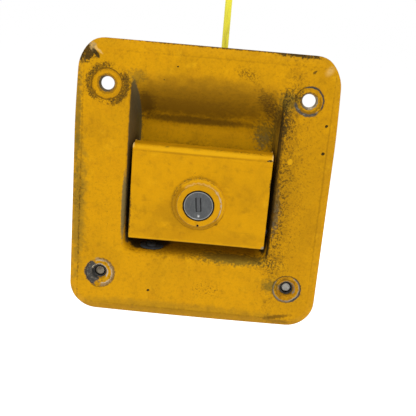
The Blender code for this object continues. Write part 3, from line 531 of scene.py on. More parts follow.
def cadCopy(node, width=0.25, segments=2, least=30.0):  # a merged copy with its edges eased
    bm = bmesh.new()
    bm.from_mesh(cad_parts[node].data)
    bmesh.ops.scale(bm, vec=(1 / mm, 1 / mm, 1 / mm), verts=bm.verts)
    bmesh.ops.remove_doubles(bm, verts=bm.verts, dist=0.001)
    flattened(bm)
    if width > 0.0:
        softEdges(bm, width, least, segments)
    return bm


def makePiece(name, bm, material, body, nodes, smooth=32.0, weighted=True):
    bmesh.ops.scale(bm, vec=(mm, mm, mm), verts=bm.verts)
    mesh = bpy.data.meshes.new(name)
    bm.to_mesh(mesh)
    bm.free()
    mesh.shade_smooth()
    mesh.set_sharp_from_angle(angle=math.radians(smooth))
    mesh.materials.append(material)
    piece = bpy.data.objects.new(name, mesh)
    bpy.context.collection.objects.link(piece)
    if weighted:
        modifier = piece.modifiers.new("evenShading", "WEIGHTED_NORMAL")
        modifier.keep_sharp = True
    nodes = [nodes] if isinstance(nodes, str) else nodes
    if body:
        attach(piece, body)
    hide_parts(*nodes)
    return piece


# the release cable comes first, as a free cord held taut from above

cableSettings = {
    "across": 5.5,
    "back": 24.2,
    "low": 24.0,
    "high": 103.0,
    "diameter": 3.3,
    "sides": 24,
    "steps": 40,
}


def cableFinish():
    sleeve = startFinish("cableSleeveWorn", (0.66, 0.60, 0.018), 0.38, Specular_IOR_Level=0.45)
    tree = sleeve["tree"]
    along = stretched(sleeve, (1.0, 1.0, 0.16))
    layer(sleeve, "mottle", 0.55, (0.44, 0.39, 0.006), Place=along, Size=2.4, Low=0.42, High=0.66)  # broad
    ribs = put(tree, "TexWave", {
        "Vector": sleeve["place"], "Scale": 0.22, "Distortion": 1.2, "Detail": 1.0,
    }, wave_type="BANDS", bands_direction="Z").outputs["Fac"]
    coat(sleeve, both(sleeve, ribs, 0.2), (0.55, 0.50, 0.03), height=0.12)
    layer(sleeve, "mottle", 0.75, (0.13, 0.12, 0.02), 0.6, Place=along, Size=3.4, Low=0.56, High=0.74,
          Detail=4.0)
    grain = effect(sleeve, "mottle", Size=0.5, Low=0.3, High=0.7)
    coat(sleeve, grain, roughness=0.5, height=0.08)
    return endFinish(sleeve, 0.4, 0.2)


def makeCable(look, material):
    bm = bmesh.new()
    ring = bmesh.ops.create_circle(bm, cap_ends=False, segments=look["sides"], radius=look["diameter"] / 2)
    bmesh.ops.translate(bm, verts=ring["verts"], vec=(look["across"], look["back"], look["low"]))
    first = list(bm.edges)
    bmesh.ops.contextual_create(bm, geom=first)
    loop = first
    for _ in range(look["steps"]):
        grown = bmesh.ops.extrude_edge_only(bm, edges=loop)["geom"]
        loop = edgesIn(grown)
        step = (look["high"] - look["low"]) / look["steps"]
        bmesh.ops.translate(bm, verts=vertsIn(grown), vec=(0.0, 0.0, step))
    bmesh.ops.contextual_create(bm, geom=loop)
    return makePiece("releaseCord", tidied(bm), material, "slide", "release_cable", weighted=False)


cord = makeCable(cableSettings, cableFinish())
print("cable made")


# metals and rubber

def metalFinish(name, colour, roughness, dark, dirt=0.5, dirtColour=(0.05, 0.04, 0.03), **shaderValues):
    metal = startFinish(name, colour, roughness, 1.0, **shaderValues)
    layer(metal, "mottle", 0.8, dark, roughness + 0.12, Size=6.0, Low=0.40, High=0.66, Detail=4.0)  # broad
    layer(metal, "mottle", 0.35, tuple(min(1.0, 1.25 * part) for part in colour), roughness - 0.06,
          Size=1.6, Low=0.44, High=0.58, Detail=1.0)
    grain = effect(metal, "mottle", Size=0.35, Low=0.3, High=0.7)
    coat(metal, grain, height=0.10)
    metal["rough"] = effect(metal, "mottle", Size=1.2, Low=0.25, High=0.75, Detail=3.0)
    layer(metal, "crevices", dirt, dirtColour, 0.8, 0.1, Reach=3.0, Low=0.35, High=0.85,
          Break=metal["rough"], Ragged=0.6)  # grime
    layer(metal, "specks", dirt, dirtColour, 0.75, 0.3, Size=2.2, Amount=0.35, Edge=0.12)  # film
    layer(metal, "edges", 0.6, tuple(min(1.0, 1.5 * part) for part in colour), roughness - 0.1, Reach=0.35,
          Break=metal["rough"])
    return metal


def rustOver(metal, amount, colour=(0.17, 0.060, 0.018)):
    layer(metal, "mottle", 0.9, colour, 0.85, 0.0, 0.2, Size=2.6, Low=0.62 - 0.25 * amount,
          High=0.80 - 0.25 * amount, Detail=5.0)  # patches
    layer(metal, "specks", 0.8, (0.09, 0.035, 0.012), 0.9, 0.0, 0.15, Size=0.7, Amount=0.2 + 0.3 * amount,
          Edge=0.06)
    return metal


def brushed(metal, factors, size=0.8, share=0.25):
    layer(metal, "mottle", share, (0.45, 0.45, 0.45), height=0.2, how="MULTIPLY",
          Place=stretched(metal, factors), Size=size, Low=0.3, High=0.7, Detail=2.0)  # lines
    return metal


finishes = {
    "zinc": endFinish(metalFinish("zincAged", (0.30, 0.30, 0.295), 0.44, (0.17, 0.17, 0.165))),
    "zincRolled": endFinish(brushed(metalFinish(
        "zincRolled", (0.33, 0.33, 0.325), 0.40, (0.20, 0.20, 0.195)), (1.0, 1.0, 0.06))),
    "zincWarm": endFinish(metalFinish("zincPassivated", (0.50, 0.43, 0.27), 0.36, (0.36, 0.29, 0.17))),
    "bright": endFinish(metalFinish("steelBright", (0.55, 0.55, 0.54), 0.26, (0.36, 0.36, 0.36), 0.35)),
    "spring": endFinish(brushed(metalFinish(
        "steelSpring", (0.30, 0.30, 0.31), 0.32, (0.17, 0.17, 0.18), 0.4), (1.0, 1.0, 1.0), 0.5)),
    "dull": endFinish(metalFinish("steelDull", (0.05, 0.048, 0.045), 0.6, (0.02, 0.018, 0.016), 0.8)),
    "boltClean": endFinish(rustOver(metalFinish(
        "boltTarnished", (0.27, 0.26, 0.235), 0.45, (0.12, 0.115, 0.10), 0.7), 0.12), 0.6),
    "boltRusty": endFinish(rustOver(metalFinish(
        "boltRusted", (0.20, 0.175, 0.13), 0.55, (0.09, 0.078, 0.055), 0.8), 0.22,
        (0.085, 0.055, 0.028)), 0.6),
}


def rubberFinish(name, colour, size):
    rubber = startFinish(name, colour, 0.72, Specular_IOR_Level=0.3)
    layer(rubber, "mottle", 0.5, tuple(2.6 * part for part in colour), 0.85, Size=size, Low=0.45, High=0.70,
          Detail=4.0)
    grain = effect(rubber, "mottle", Size=0.45, Low=0.3, High=0.7)
    coat(rubber, grain, height=0.3)
    rubber["rough"] = effect(rubber, "mottle", Size=1.2, Low=0.25, High=0.75, Detail=3.0)
    layer(rubber, "edges", 0.5, tuple(4.0 * part for part in colour), 0.6, Reach=0.5, Break=rubber["rough"])
    layer(rubber, "specks", 0.35, (0.10, 0.085, 0.06), 0.9, Size=1.4, Amount=0.3, Edge=0.1)  # dust
    return endFinish(rubber, 0.5, 0.2)


finishes["gasket"] = rubberFinish("rubberFoam", (0.014, 0.014, 0.015), 9.0)
finishes["stop"] = rubberFinish("rubberStop", (0.010, 0.011, 0.012), 4.0)
print("metal and rubber finishes made")


# the dish: a border that rolls back, a flat flange, and a pocket pressed into it

dishSettings = {
    "sheet": 2.0,
    "border": 3.6,
    "borderDrop": 1.3,
    "borderSteps": 6,
    "borderCurve": 1.2,
    "sideCuts": 14,
    "bow": {"start": 25.0, "topIn": 1.5, "topUp": 1.0, "topBack": 0.8, "lowSag": 0.5},
    "front": -4.0,
    "depth": 20.0,
    "opening": {"left": -35.5, "right": 35.5, "low": -34.2, "high": 50.6},
    "floor": {"left": -32.6, "right": 32.6, "low": -31.2, "high": 29.6},
    "roll": {"left": 1.3, "right": 2.6, "low": 2.6, "high": 5.5},
    "fillet": {"left": 2.4, "right": 3.4, "low": 3.0, "high": 4.2},
    "levels": (0.0, 0.06, 0.2, 0.45, 0.8, 1.3, 2.0, 2.9, 4.0, 5.5, 8.0, 12.0,
               15.0, 16.4, 17.5, 18.4, 19.1, 19.6, 19.88, 20.0),
    "corners": {"rim": 13.0, "opening": 5.6, "floor": 5.0, "floorTopRight": 10.0},
    "cornerSteps": 10,
    "holes": 46.5,
    "seat": ((0.0, -7.0), (6.95, -7.0), (6.9, -4.1), (6.8, -3.75), (6.6, -3.45), (6.35, -3.28),
             (6.0, -3.24), (4.8, -3.34), (4.35, -3.28), (4.0, -3.0), (3.7, -2.55), (3.4, -1.9),
             (3.15, -1.4), (3.05, -1.0), (3.05, 3.0), (0.0, 3.0)),
    "eyelet": ((0.0, -3.0), (4.9, -3.0), (4.9, -1.6), (4.5, -0.95), (4.1, -0.8), (0.0, -0.8)),
    "pinHole": 2.15,
    "leverSlot": ((-3.0, 10.0, -27.0), (3.0, 24.0, -13.8)),
    "eased": 0.35,
    "cornerGouge": ((-57.2, -6.6, 61.0, 4.2), (1.0, 0.9, 1.25), -38.0),  # place and radius, squeeze, turn
    "gash": ((-51.9, -4.75, 59.6, 1.5), (0.55, 0.8, 1.7), 42.0),
    "pits": ((55.6, 35.9, 0.65), (55.7, 22.9, 0.75), (-21.7, -53.6, 0.6), (-28.5, 22.5, 0.4),
             (-14.5, 57.0, 0.35), (-20.5, 50.5, 0.3)),
}


def ringCorners(sides, radii):  # centre and radius of each corner, by the side it is on
    corners = {}
    for right in (False, True):
        for top in (False, True):
            radius = radii[(right, top)]
            x = sides["right"] - radius if right else sides["left"] + radius
            z = sides["high"] - radius if top else sides["low"] + radius
            corners[(right, top)] = (x, z, radius)
    return corners


def cornerOf(vert, corners):
    middleX = sum(corner[0] for corner in corners.values()) / len(corners)
    middleZ = sum(corner[1] for corner in corners.values()) / len(corners)
    return vert.co.x > middleX, vert.co.z > middleZ


def startRing(bm, sides, radii, y, steps):
    made = bmesh.ops.create_grid(bm, x_segments=1, y_segments=1, size=0.5)["verts"]
    bmesh.ops.rotate(bm, verts=made, cent=(0.0, 0.0, 0.0), matrix=Matrix.Rotation(math.pi / 2, 3, "X"))
    size = Vector((sides["right"] - sides["left"], 1.0, sides["high"] - sides["low"]))
    centre = Vector((sides["right"] + sides["left"], 2 * y, sides["high"] + sides["low"])) / 2
    bmesh.ops.scale(bm, vec=size, verts=made)
    bmesh.ops.translate(bm, vec=centre, verts=made)
    for vert in list(bm.verts):
        key = (vert.co.x > centre.x, vert.co.z > centre.z)
        bmesh.ops.bevel(
            bm, geom=[vert], offset=radii[key], offset_type="OFFSET", affect="VERTICES",
            segments=steps, profile=0.5, material=-1)
    bmesh.ops.delete(bm, geom=list(bm.faces), context="FACES_ONLY")
    return list(bm.edges)


def growRing(bm, edges, old, new, y):  # the loop is extruded; arcs are resized, straight sides stretched
    grown = bmesh.ops.extrude_edge_only(bm, edges=edges)["geom"]
    slack = 0.001
    for vert in vertsIn(grown):
        key = cornerOf(vert, old)
        beside, above = (not key[0], key[1]), (key[0], not key[1])
        x, z, radius = old[key]
        newX, newZ, newRadius = new[key]
        ratio = newRadius / radius
        placeX = newX + (vert.co.x - x) * ratio
        placeZ = newZ + (vert.co.z - z) * ratio
        if (vert.co.x - x) * (1 if key[0] else -1) < -slack:
            placeX = newX + (new[beside][0] - newX) * (vert.co.x - x) / (old[beside][0] - x)
        if (vert.co.z - z) * (1 if key[1] else -1) < -slack:
            placeZ = newZ + (new[above][1] - newZ) * (vert.co.z - z) / (old[above][1] - z)
        vert.co = (placeX, y, placeZ)
    return edgesIn(grown)


def sameRadii(radius):
    return {(right, top): radius for right in (False, True) for top in (False, True)}


def quarter(width, share):  # how far a rolled edge still stands out, a share of the way round
    share = min(max(share, 0.0), 1.0)
    return width * (1.0 - math.sqrt(max(0.0, 1.0 - (1.0 - share) ** 2)))


def pocketRing(look, level):
    share = level / look["depth"]
    sides = {}
    for side, way in (("left", -1), ("right", 1), ("low", -1), ("high", 1)):
        line = look["opening"][side] + (look["floor"][side] - look["opening"][side]) * share
        roll = quarter(look["roll"][side], level / look["roll"][side])
        fillet = quarter(look["fillet"][side], (look["depth"] - level) / look["fillet"][side])
        sides[side] = line + way * (roll - fillet)
    radii = {}
    corner = look["corners"]
    for key in sameRadii(0.0):
        last = corner["floorTopRight"] if key == (True, True) else corner["floor"]
        radii[key] = corner["opening"] + (last - corner["opening"]) * share
    return sides, radii


def bowed(bm, look):  # the plate's outer edges aren't quite straight
    bow = look["bow"]
    high = boxOf("dish")[1]
    flatX, flatZ = high.x - 2.2 * look["border"], high.z - 2.2 * look["border"]
    for vert in bm.verts:
        x, z = vert.co.x, vert.co.z
        outX = min(max((abs(x) - flatX) / (high.x - flatX), 0.0), 1.0)
        outZ = min(max((abs(z) - flatZ) / (high.z - flatZ), 0.0), 1.0)
        climb = min(max((z - bow["start"]) / (high.z - bow["start"]), 0.0), 1.0)
        vert.co.x -= math.copysign(bow["topIn"] * outX * climb ** 1.5, x)
        if z > 0.0:
            vert.co.z += bow["topUp"] * outZ
            vert.co.y += bow["topBack"] * outZ
        else:
            vert.co.z -= bow["lowSag"] * outZ * (1.0 - (x / high.x) ** 2)


def dishSurface(look):
    bm = bmesh.new()
    low, high = boxOf("dish")
    outer = {"left": low.x, "right": high.x, "low": low.z, "high": high.z}
    rim = sameRadii(look["corners"]["rim"])
    edges = startRing(bm, outer, rim, look["front"] + look["borderDrop"], look["cornerSteps"])
    longEdges = [e for e in edges if e.calc_length() > look["opening"]["right"]]
    bmesh.ops.subdivide_edges(bm, edges=longEdges, cuts=look["sideCuts"])
    edges = list(bm.edges)
    corners = ringCorners(outer, rim)
    for step in range(1, look["borderSteps"] + 1):
        share = step / look["borderSteps"]
        inset = look["border"] * share
        sides = {side: value - math.copysign(inset, value) for side, value in outer.items()}
        new = ringCorners(sides, sameRadii(look["corners"]["rim"] - inset))
        y = look["front"] + look["borderDrop"] * (1.0 - share) ** look["borderCurve"]
        edges = growRing(bm, edges, corners, new, y)
        corners = new
    for level in look["levels"]:
        new = ringCorners(*pocketRing(look, level))
        edges = growRing(bm, edges, corners, new, look["front"] + level)
        corners = new
    bmesh.ops.contextual_create(bm, geom=edges)
    bowed(bm, look)
    tidied(bm)
    floor = max(bm.faces, key=lambda face: face.calc_center_median().y)
    if floor.normal.y > 0.0:
        bmesh.ops.reverse_faces(bm, faces=bm.faces)
    bmesh.ops.solidify(bm, geom=list(bm.faces), thickness=look["sheet"])
    return tidied(bm)


def ballCutter(x, y, z, radius, squeeze=(1.0, 1.0, 1.0), turn=0.0):
    bm = bmesh.new()
    bmesh.ops.create_icosphere(bm, subdivisions=4, radius=radius)
    bmesh.ops.scale(bm, vec=squeeze, verts=bm.verts)
    bmesh.ops.rotate(
        bm, verts=bm.verts, cent=(0.0, 0.0, 0.0), matrix=Matrix.Rotation(math.radians(turn), 3, "Y"))
    bmesh.ops.translate(bm, vec=(x, y, z), verts=bm.verts)
    return bm


def makeDish(look, material):
    bm = dishSurface(look)
    softEdges(bm, look["eased"], 60.0)
    eyelets = []
    cutters = []
    for x in (-look["holes"], look["holes"]):
        for z in (-look["holes"], look["holes"]):
            cutters.append(turned(look["seat"], (x, 0.0, z), "Y"))
            eyelets.append(turned(look["eyelet"], (x, 0.0, z), "Y"))
    pinY, pinZ = middleOf("pivot_pin").yz
    low, high = boxOf("pivot_pin")
    cutters.append(prism(look["pinHole"], low.x - 1.0, high.x + 1.0, (0.0, pinY, pinZ), 32, "X"))
    cutters.append(block(*look["leverSlot"]))
    for mark in ("cornerGouge", "gash"):
        ball, squeeze, turn = look[mark]
        cutters.append(ballCutter(*ball, squeeze, turn))
    for x, z, radius in look["pits"]:
        cutters.append(ballCutter(x, look["front"] - 0.35 * radius, z, radius))
    bm = carved(bm, *eyelets, how="UNION")
    return makePiece("dishShell", carved(bm, *cutters), material, "housing", "dish", 38.0)


dishDamageAndPaintedLight = [
    # the pocket's upper wall and the floor behind the paddle
    # painted shade with grime: the pocket's upper wall is painted darker downward, for the shade it lies in
    # under the light from above; the brown dabs add the grime
    dab((-2.0, 6.5, 43.0), (38.0, 13.0, 14.0), "filmAndShade", 0.75, 0.35, 0.3, grain="coarse"),
    dab((-4.0, 7.0, 39.5), (36.0, 12.0, 11.5), "brown", 0.48, 0.5, 0.6, grain="coarse"),
    dab((-10.0, 8.0, 37.0), (26.0, 10.0, 7.0), "brown", 0.35, 0.6, 1.4),
    dab((-6.0, 15.5, 30.2), (28.0, 3.4, 2.2), "brown", 0.8, 0.4, 0.25),
    dab((-29.5, 9.0, 38.0), (4.5, 8.0, 9.0), "brown", 0.9, 0.4),
    # painted shade: a band that darkens the upper wall from just under its top crease
    dab((0.0, 0.0, 46.5), (37.0, 8.0, 7.0), "filmAndShade", 0.35, 0.22, 0.2, grain="coarse"),
    dab((-34.7, 11.5, 22.0), (3.0, 15.6, 80.0), "greyBrown", 0.92, 0.06, 0.06),
    dab((-33.2, 13.0, 24.0), (2.2, 5.0, 12.0), "olive", 0.6, 0.4, 1.2, specks=(1.0, 0.9)),
    dab((-36.1, -3.2, -11.0), (1.1, 2.0, 17.0), "roll", 0.85, 0.25, 0.3),
    dab((34.4, 7.0, 12.0), (2.8, 11.0, 42.0), "olive", 0.6, ragged=0.6),
    dab((31.0, 6.0, 40.0), (3.6, 9.0, 12.0), "sootAndShade", 0.75, 0.5, 1.0, turn=34.0, specks=(1.1, 0.9)),
    dab((31.0, 6.0, 40.0), (4.5, 10.0, 13.0), "brown", 0.5, 0.6, 0.6, turn=34.0),
    dab((28.5, 12.0, 26.0), (5.0, 8.0, 6.5), "olive", 0.65, 0.5, 1.3),
    dab((28.0, 14.0, 23.0), (3.0, 5.0, 4.5), "greyGreen", 0.4, 0.5, 1.5, specks=(1.2, 0.9)),
    dab((28.5, 11.0, 25.0), (4.0, 8.0, 6.0), "sootAndShade", 0.7, 0.5, specks=(0.9, 0.6)),
    dab((-33.5, -3.0, 51.0), (3.6, 3.0, 3.0), "olive", 0.45, 0.6, 1.6),
    dab((20.0, -1.0, -34.0), (19.0, 5.0, 2.7), "olive", 0.8, 0.4, 1.0),
    dab((0.0, 2.0, -34.5), (36.0, 5.0, 2.6), "brown", 0.5, 0.5, 1.0),
    # painted shade: the pocket's side walls beside the paddle, the lower wall round the stop and the floor
    # behind the paddle are painted near black; behind the paddle it is painted shade with grime
    dab((-33.8, 10.0, -9.0), (3.0, 11.6, 30.0), "sootAndShade", 0.95, 0.1, 0.2),
    dab((33.8, 10.0, -9.0), (3.0, 11.6, 30.0), "sootAndShade", 0.95, 0.1, 0.2),
    dab((-26.0, 10.0, -33.0), (13.5, 9.6, 3.4), "sootAndShade", 0.96, 0.12, 0.12),
    dab((0.0, 17.0, -10.0), (34.0, 5.0, 24.0), "sootAndShade", 0.8, 0.3, 0.3),
    # the pocket's edges on the flange
    dab((36.8, -2.8, -7.0), (2.0, 2.4, 11.0), "roll", 0.92, 0.25, 1.0),
    dab((37.2, -3.2, -9.0), (1.8, 2.0, 9.0), "bareDarkAndShade", 0.8, 0.4, 1.6, specks=(1.4, 0.9)),
    dab((36.4, -2.0, 20.0), (0.9, 2.2, 34.0), "brown", 0.8, 0.4, 1.0),
    # painted shade: a dark line down the right roll of the opening, for its shaded side
    dab((35.2, -1.4, 5.0), (1.15, 3.4, 42.0), "sootAndShade", 0.95, 0.2, 0.2),
    dab((38.8, -4.0, 6.0), (3.6, 3.0, 50.0), "sootAndShade", 0.9, 0.5, 0.9, specks=(1.1, 0.72), height=-0.3,
        grain="coarse"),
    dab((39.0, -4.0, 8.0), (4.5, 3.0, 48.0), "brown", 0.25, 0.7, 1.3, grain="coarse"),
    dab((41.0, -4.0, 2.0), (7.0, 3.0, 50.0), "sootAndShade", 0.7, 0.6, 0.9, specks=(0.85, 0.60), height=-0.2),
    dab((42.5, -4.0, 2.0), (9.0, 3.0, 50.0), "brown", 0.85, 0.6, 0.7, specks=(0.8, 0.56), height=-0.2),
    dab((36.5, -3.6, 45.0), (6.0, 3.0, 4.2), "olive", 0.7, 0.6, 1.0, turn=20.0),
    dab((49.0, -4.0, 5.0), (13.0, 3.0, 58.0), "filmAndShade", 0.30, 0.6, 0.6, grain="coarse"),
    dab((49.0, -4.0, 2.0), (12.0, 3.0, 55.0), "brown", 0.75, 0.5, 0.4, specks=(0.75, 0.42), height=-0.2),
    dab((38.5, -4.0, 47.5), (6.5, 2.5, 3.6), "sootAndShade", 0.8, 0.6, 1.0, turn=12.0, specks=(0.9, 0.85)),
    dab((36.0, -3.4, 36.0), (3.6, 3.0, 9.0), "sootAndShade", 0.85, 0.5, 1.0, specks=(1.0, 0.95)),
    dab((36.0, -3.0, -33.0), (6.0, 3.0, 5.0), "sootAndShade", 0.75, 0.6, 1.0, specks=(0.8, 0.8)),
    dab((15.0, -4.0, 58.0), (24.0, 3.0, 7.0), "brown", 0.75, 0.5, specks=(0.9, 0.40)),
    dab((17.5, -4.0, 56.0), (5.0, 3.0, 2.6), "brown", 0.75, 0.5, turn=-20.0, specks=(0.6, 0.8)),
    dab((-46.0, -4.0, -8.0), (10.0, 3.0, 18.0), "brown", 0.8, 0.5, specks=(0.9, 0.44)),
    dab((-58.0, -3.5, -14.0), (3.4, 3.0, 30.0), "olive", 0.55, 0.6, 1.2, grain="coarse"),
    dab((-58.5, -3.5, -6.0), (3.0, 3.0, 9.0), "sootAndShade", 0.5, 0.5, 1.0, specks=(0.9, 0.7)),
    dab((-59.5, -3.0, 30.0), (1.6, 3.0, 22.0), "olive", 0.6, 0.5, 1.2),
    dab((7.0, -4.0, -51.0), (6.5, 3.0, 4.0), "brown", 0.75, 0.5, specks=(1.0, 0.66)),
    dab((0.0, -4.0, -56.0), (50.0, 3.0, 8.0), "brown", 0.6, 0.5, specks=(0.9, 0.30)),
    dab((-10.0, -4.0, -62.0), (48.0, 3.0, 3.0), "olive", 0.3, 0.5, 0.8, grain="coarse"),
    # corners and rim
    dab((-56.6, -3.2, 60.2), (4.3, 4.0, 4.6), "sootAndShade", 0.96, 0.22, 0.9, turn=-30.0, height=-0.9),
    dab((-56.8, -3.0, 60.8), (2.6, 4.0, 3.2), "brown", 0.6, 0.5, 1.4, turn=-30.0, specks=(0.8, 0.9),
        height=0.8),
    dab((-56.6, -3.2, 60.2), (4.0, 4.0, 4.4), "pale", 0.5, 0.5, 0.9, turn=-30.0, specks=(0.7, 0.42)),
    # painted highlight: a pale patch where the top left corner's rolled border catches the light
    dab((-53.4, -3.6, 62.6), (1.5, 3.0, 2.6), "pale", 0.45, 0.35, 0.8, turn=40.0),
    dab((-51.9, -4.0, 59.7), (0.95, 3.0, 2.5), "sootAndShade", 0.95, 0.25, 0.5, turn=42.0, height=-0.6),
    dab((-50.5, -4.0, 61.0), (0.5, 3.0, 1.8), "pale", 0.5, 0.4, 0.6, turn=50.0),
    # painted highlight: a pale patch on the top right corner's rolled border
    dab((54.2, -3.6, 60.8), (1.3, 2.0, 2.1), "pale", 0.38, 0.8, 0.5, turn=-40.0),
    dab((-57.3, -4.0, -4.0), (0.4, 2.0, 52.0), "filmAndShade", 0.7, 0.6, 1.6),
    dab((-57.3, -4.0, -22.0), (0.35, 2.0, 26.0), "sootAndShade", 0.6, 0.5, 1.6, specks=(1.5, 0.9)),
    dab((57.3, -4.0, 8.0), (0.4, 2.0, 46.0), "filmAndShade", 0.6, 0.6, 0.9),
    dab((6.0, -4.0, 62.0), (46.0, 2.0, 0.35), "filmAndShade", 0.35, 0.7, 1.6),
    dab((0.0, -4.0, -62.5), (50.0, 2.0, 0.35), "brown", 0.25, 0.7, 1.6),
    # painted shade: the bottom border, which faces down, is painted darker
    dab((0.0, -3.0, -65.2), (70.0, 3.0, 2.9), "filmAndShade", 0.55, 0.15, 0.1),
    dab((8.0, -1.6, 67.2), (52.0, 1.6, 0.8), "sootAndShade", 0.85, 0.4, 1.0),
    dab((40.0, -1.8, 66.6), (9.0, 2.0, 1.3), "sootAndShade", 0.95, 0.4, 1.2),
    dab((43.0, -3.6, -61.6), (6.5, 3.0, 0.9), "brown", 0.8, 0.5, 0.7, turn=12.0, height=-0.8),
    dab((44.0, -3.2, -64.2), (5.0, 3.0, 1.5), "brown", 0.45, 0.6, 1.0),
    dab((40.9, -4.0, 17.7), (1.2, 2.0, 1.5), "bright", 0.7, 0.15, 0.3),
    dab((47.3, -4.0, 59.6), (0.5, 2.0, 1.1), "sootAndShade", 0.75, ragged=0.8, turn=-50.0),
]
for pitX, pitZ, pitRadius in dishSettings["pits"]:
    dishDamageAndPaintedLight.append(dab((pitX, -4.0, pitZ), (1.25 * pitRadius, 2.0, pitRadius), "sootAndShade", 0.95, 0.15, 0.5,
        turn=20.0, height=-0.5))
dishHole = dishSettings["holes"]
topLeft = (-dishHole, -4.0, dishHole)
topRight = (dishHole, -4.0, dishHole)
lowLeft = (-dishHole, -4.0, -dishHole)
lowRight = (dishHole, -4.0, -dishHole)
dishDamageAndPaintedLight += [
    # grime and bare metal round the four seats, darker hole rims and walls, and painted shadow below the
    # bolt tips in the lower holes
    arc(topLeft, 8.3, 3.2, "brown", 0.75, 1.8, specks=(0.7, 0.70), grain="coarse"),
    arc(topLeft, 8.2, 2.6, "brown", 0.55, 2.2, toward=(-1.0, 0.0, 0.35), reach=0.2),
    arc(topLeft, 8.6, 3.0, "sootAndShade", 0.75, 2.0, toward=(-1.0, 0.0, 0.35), reach=0.3, specks=(0.6, 0.85)),
    arc(topLeft, 8.8, 3.0, "brown", 0.7, 2.0, toward=(1.0, 0.0, -0.35), reach=0.55),
    arc(topLeft, 9.0, 3.4, "sootAndShade", 0.7, 2.0, toward=(1.0, 0.0, -0.35), reach=0.55, specks=(0.6, 0.9)),
    arc(topLeft, 7.1, 0.7, "brown", 0.8, 0.35),
    arc((-dishHole, -3.0, dishHole), 3.45, 1.0, "greyBrown", 0.95, 0.4, toward=(-1.0, 0.0, -0.35),
        reach=0.0),
    arc((-dishHole, -3.0, dishHole), 4.4, 0.7, "brown", 0.5, 0.5),
    arc((dishHole, -3.0, dishHole), 3.5, 0.8, "barePale", 0.8, 0.6, toward=(0.6, 0.0, -0.8), reach=0.0),
    arc((dishHole, -3.0, dishHole), 3.8, 0.8, "sootAndShade", 0.7, 0.9, toward=(-1.0, 0.0, 0.1), reach=0.0),
    arc(topRight, 6.4, 0.5, "brown", 0.75, 0.35),
    arc(topRight, 6.4, 1.5, "bareDarkAndShade", 0.9, 0.6, toward=(-0.35, 0.0, -0.95), reach=0.55, roughness=0.5),
    arc(topRight, 6.3, 0.8, "bareGrey", 0.7, 0.9, toward=(-0.35, 0.0, -0.95), reach=0.5, roughness=0.5,
        specks=(1.4, 0.9)),
    arc(topRight, 6.4, 0.7, "bareDarkAndShade", 0.85, 0.4, toward=(0.75, 0.0, 0.65), reach=0.3),
    arc(topRight, 6.5, 1.2, "bareDarkAndShade", 0.8, 0.4, toward=(0.3, 0.0, 0.95), reach=0.92),
    arc(topRight, 5.2, 1.0, "brown", 0.6, 1.0, toward=(0.5, 0.0, -0.8), reach=0.2),
    arc(lowLeft, 7.0, 1.4, "bareGrey", 0.6, 0.7, toward=(1.0, 0.0, 0.2), reach=-0.1, roughness=0.5),
    arc(lowLeft, 6.2, 0.5, "barePale", 0.7, 0.9, toward=(0.9, 0.0, 0.2), reach=0.0, roughness=0.5),
    arc(lowLeft, 7.5, 1.0, "brown", 0.7, 0.7, toward=(1.0, 0.0, -0.2), reach=-0.3, specks=(1.0, 1.0)),
    dab((-50.4, -3.6, -47.4), (4.4, 3.0, 6.4), "bareDarkAndShade", 0.97, 0.12, 0.5, turn=-8.0, roughness=0.38,
        metallic=0.6, within=(lowLeft, 7.2)),
    dab((-49.4, -3.6, -47.4), (4.4, 3.0, 6.0), "bareGrey", 0.6, 0.3, 0.8, turn=-8.0, roughness=0.45,
        specks=(1.0, 0.62), within=(lowLeft, 7.0)),
    dab((-43.4, -3.6, -47.4), (5.0, 3.0, 6.6), "sootAndShade", 0.75, 0.3, 0.8, specks=(0.9, 0.62),
        within=(lowLeft, 7.4)),
    arc((-dishHole, -3.0, -dishHole), 4.0, 0.7, "barePale", 0.9, 0.6, toward=(0.5, 0.0, 0.85), reach=-0.1,
        roughness=0.45),
    # painted shadow: dark at the lower left inside the hole, under the bolt tip
    dab((-dishHole - 0.5, -2.0, -dishHole - 0.3), (3.4, 1.4, 3.4), "bareDarkAndShade", 0.6, 0.15, 0.3),
    arc(lowRight, 6.9, 0.6, "greyBrown", 0.8, 0.4),
    arc(lowRight, 6.7, 1.1, "bareDarkAndShade", 0.95, 0.4, toward=(1.0, 0.0, -0.1), reach=0.45),
    arc(lowRight, 6.3, 0.5, "barePale", 0.5, 0.4, toward=(1.0, 0.0, -0.1), reach=0.4),
    arc(lowRight, 6.5, 0.6, "bareGrey", 0.85, 0.5, toward=(-0.8, 0.0, -0.6), reach=0.25),
    arc(lowRight, 7.1, 0.7, "sootAndShade", 0.6, 0.7, toward=(0.0, 0.0, 1.0), reach=0.1, specks=(1.0, 1.0)),
    dab(lowRight, (5.6, 3.0, 5.6), "rust", 0.42, 0.3, 0.8),
    dab(lowRight, (6.4, 3.0, 6.4), "sootAndShade", 0.7, 0.2, 0.8, specks=(0.9, 0.5)),
    arc((dishHole, -3.0, -dishHole), 3.9, 0.6, "bareGrey", 0.8, 0.8, toward=(0.2, 0.0, 1.0), reach=-0.4,
        roughness=0.45),
    # painted shadow: dark below the bolt tip inside the hole
    dab((dishHole, -2.0, -dishHole - 0.6), (3.3, 1.4, 3.5), "sootAndShade", 0.6, 0.15, 0.3),
    arc(lowRight, 5.0, 0.6, "brown", 0.6, 0.6, toward=(-0.7, 0.0, 0.7), reach=-0.3),
    dab((38.0, -4.0, -45.4), (3.6, 3.0, 3.0), "olive", 0.6, 0.6, 1.2),
    # the walls of the two upper holes are painted darker
    dab((-dishHole, -1.6, dishHole), (4.4, 2.3, 4.4), "greyBrown", 0.65, 0.2, 0.8),
    dab((dishHole, -1.6, dishHole), (4.4, 2.3, 4.4), "greyBrown", 0.65, 0.2, 0.8),
]


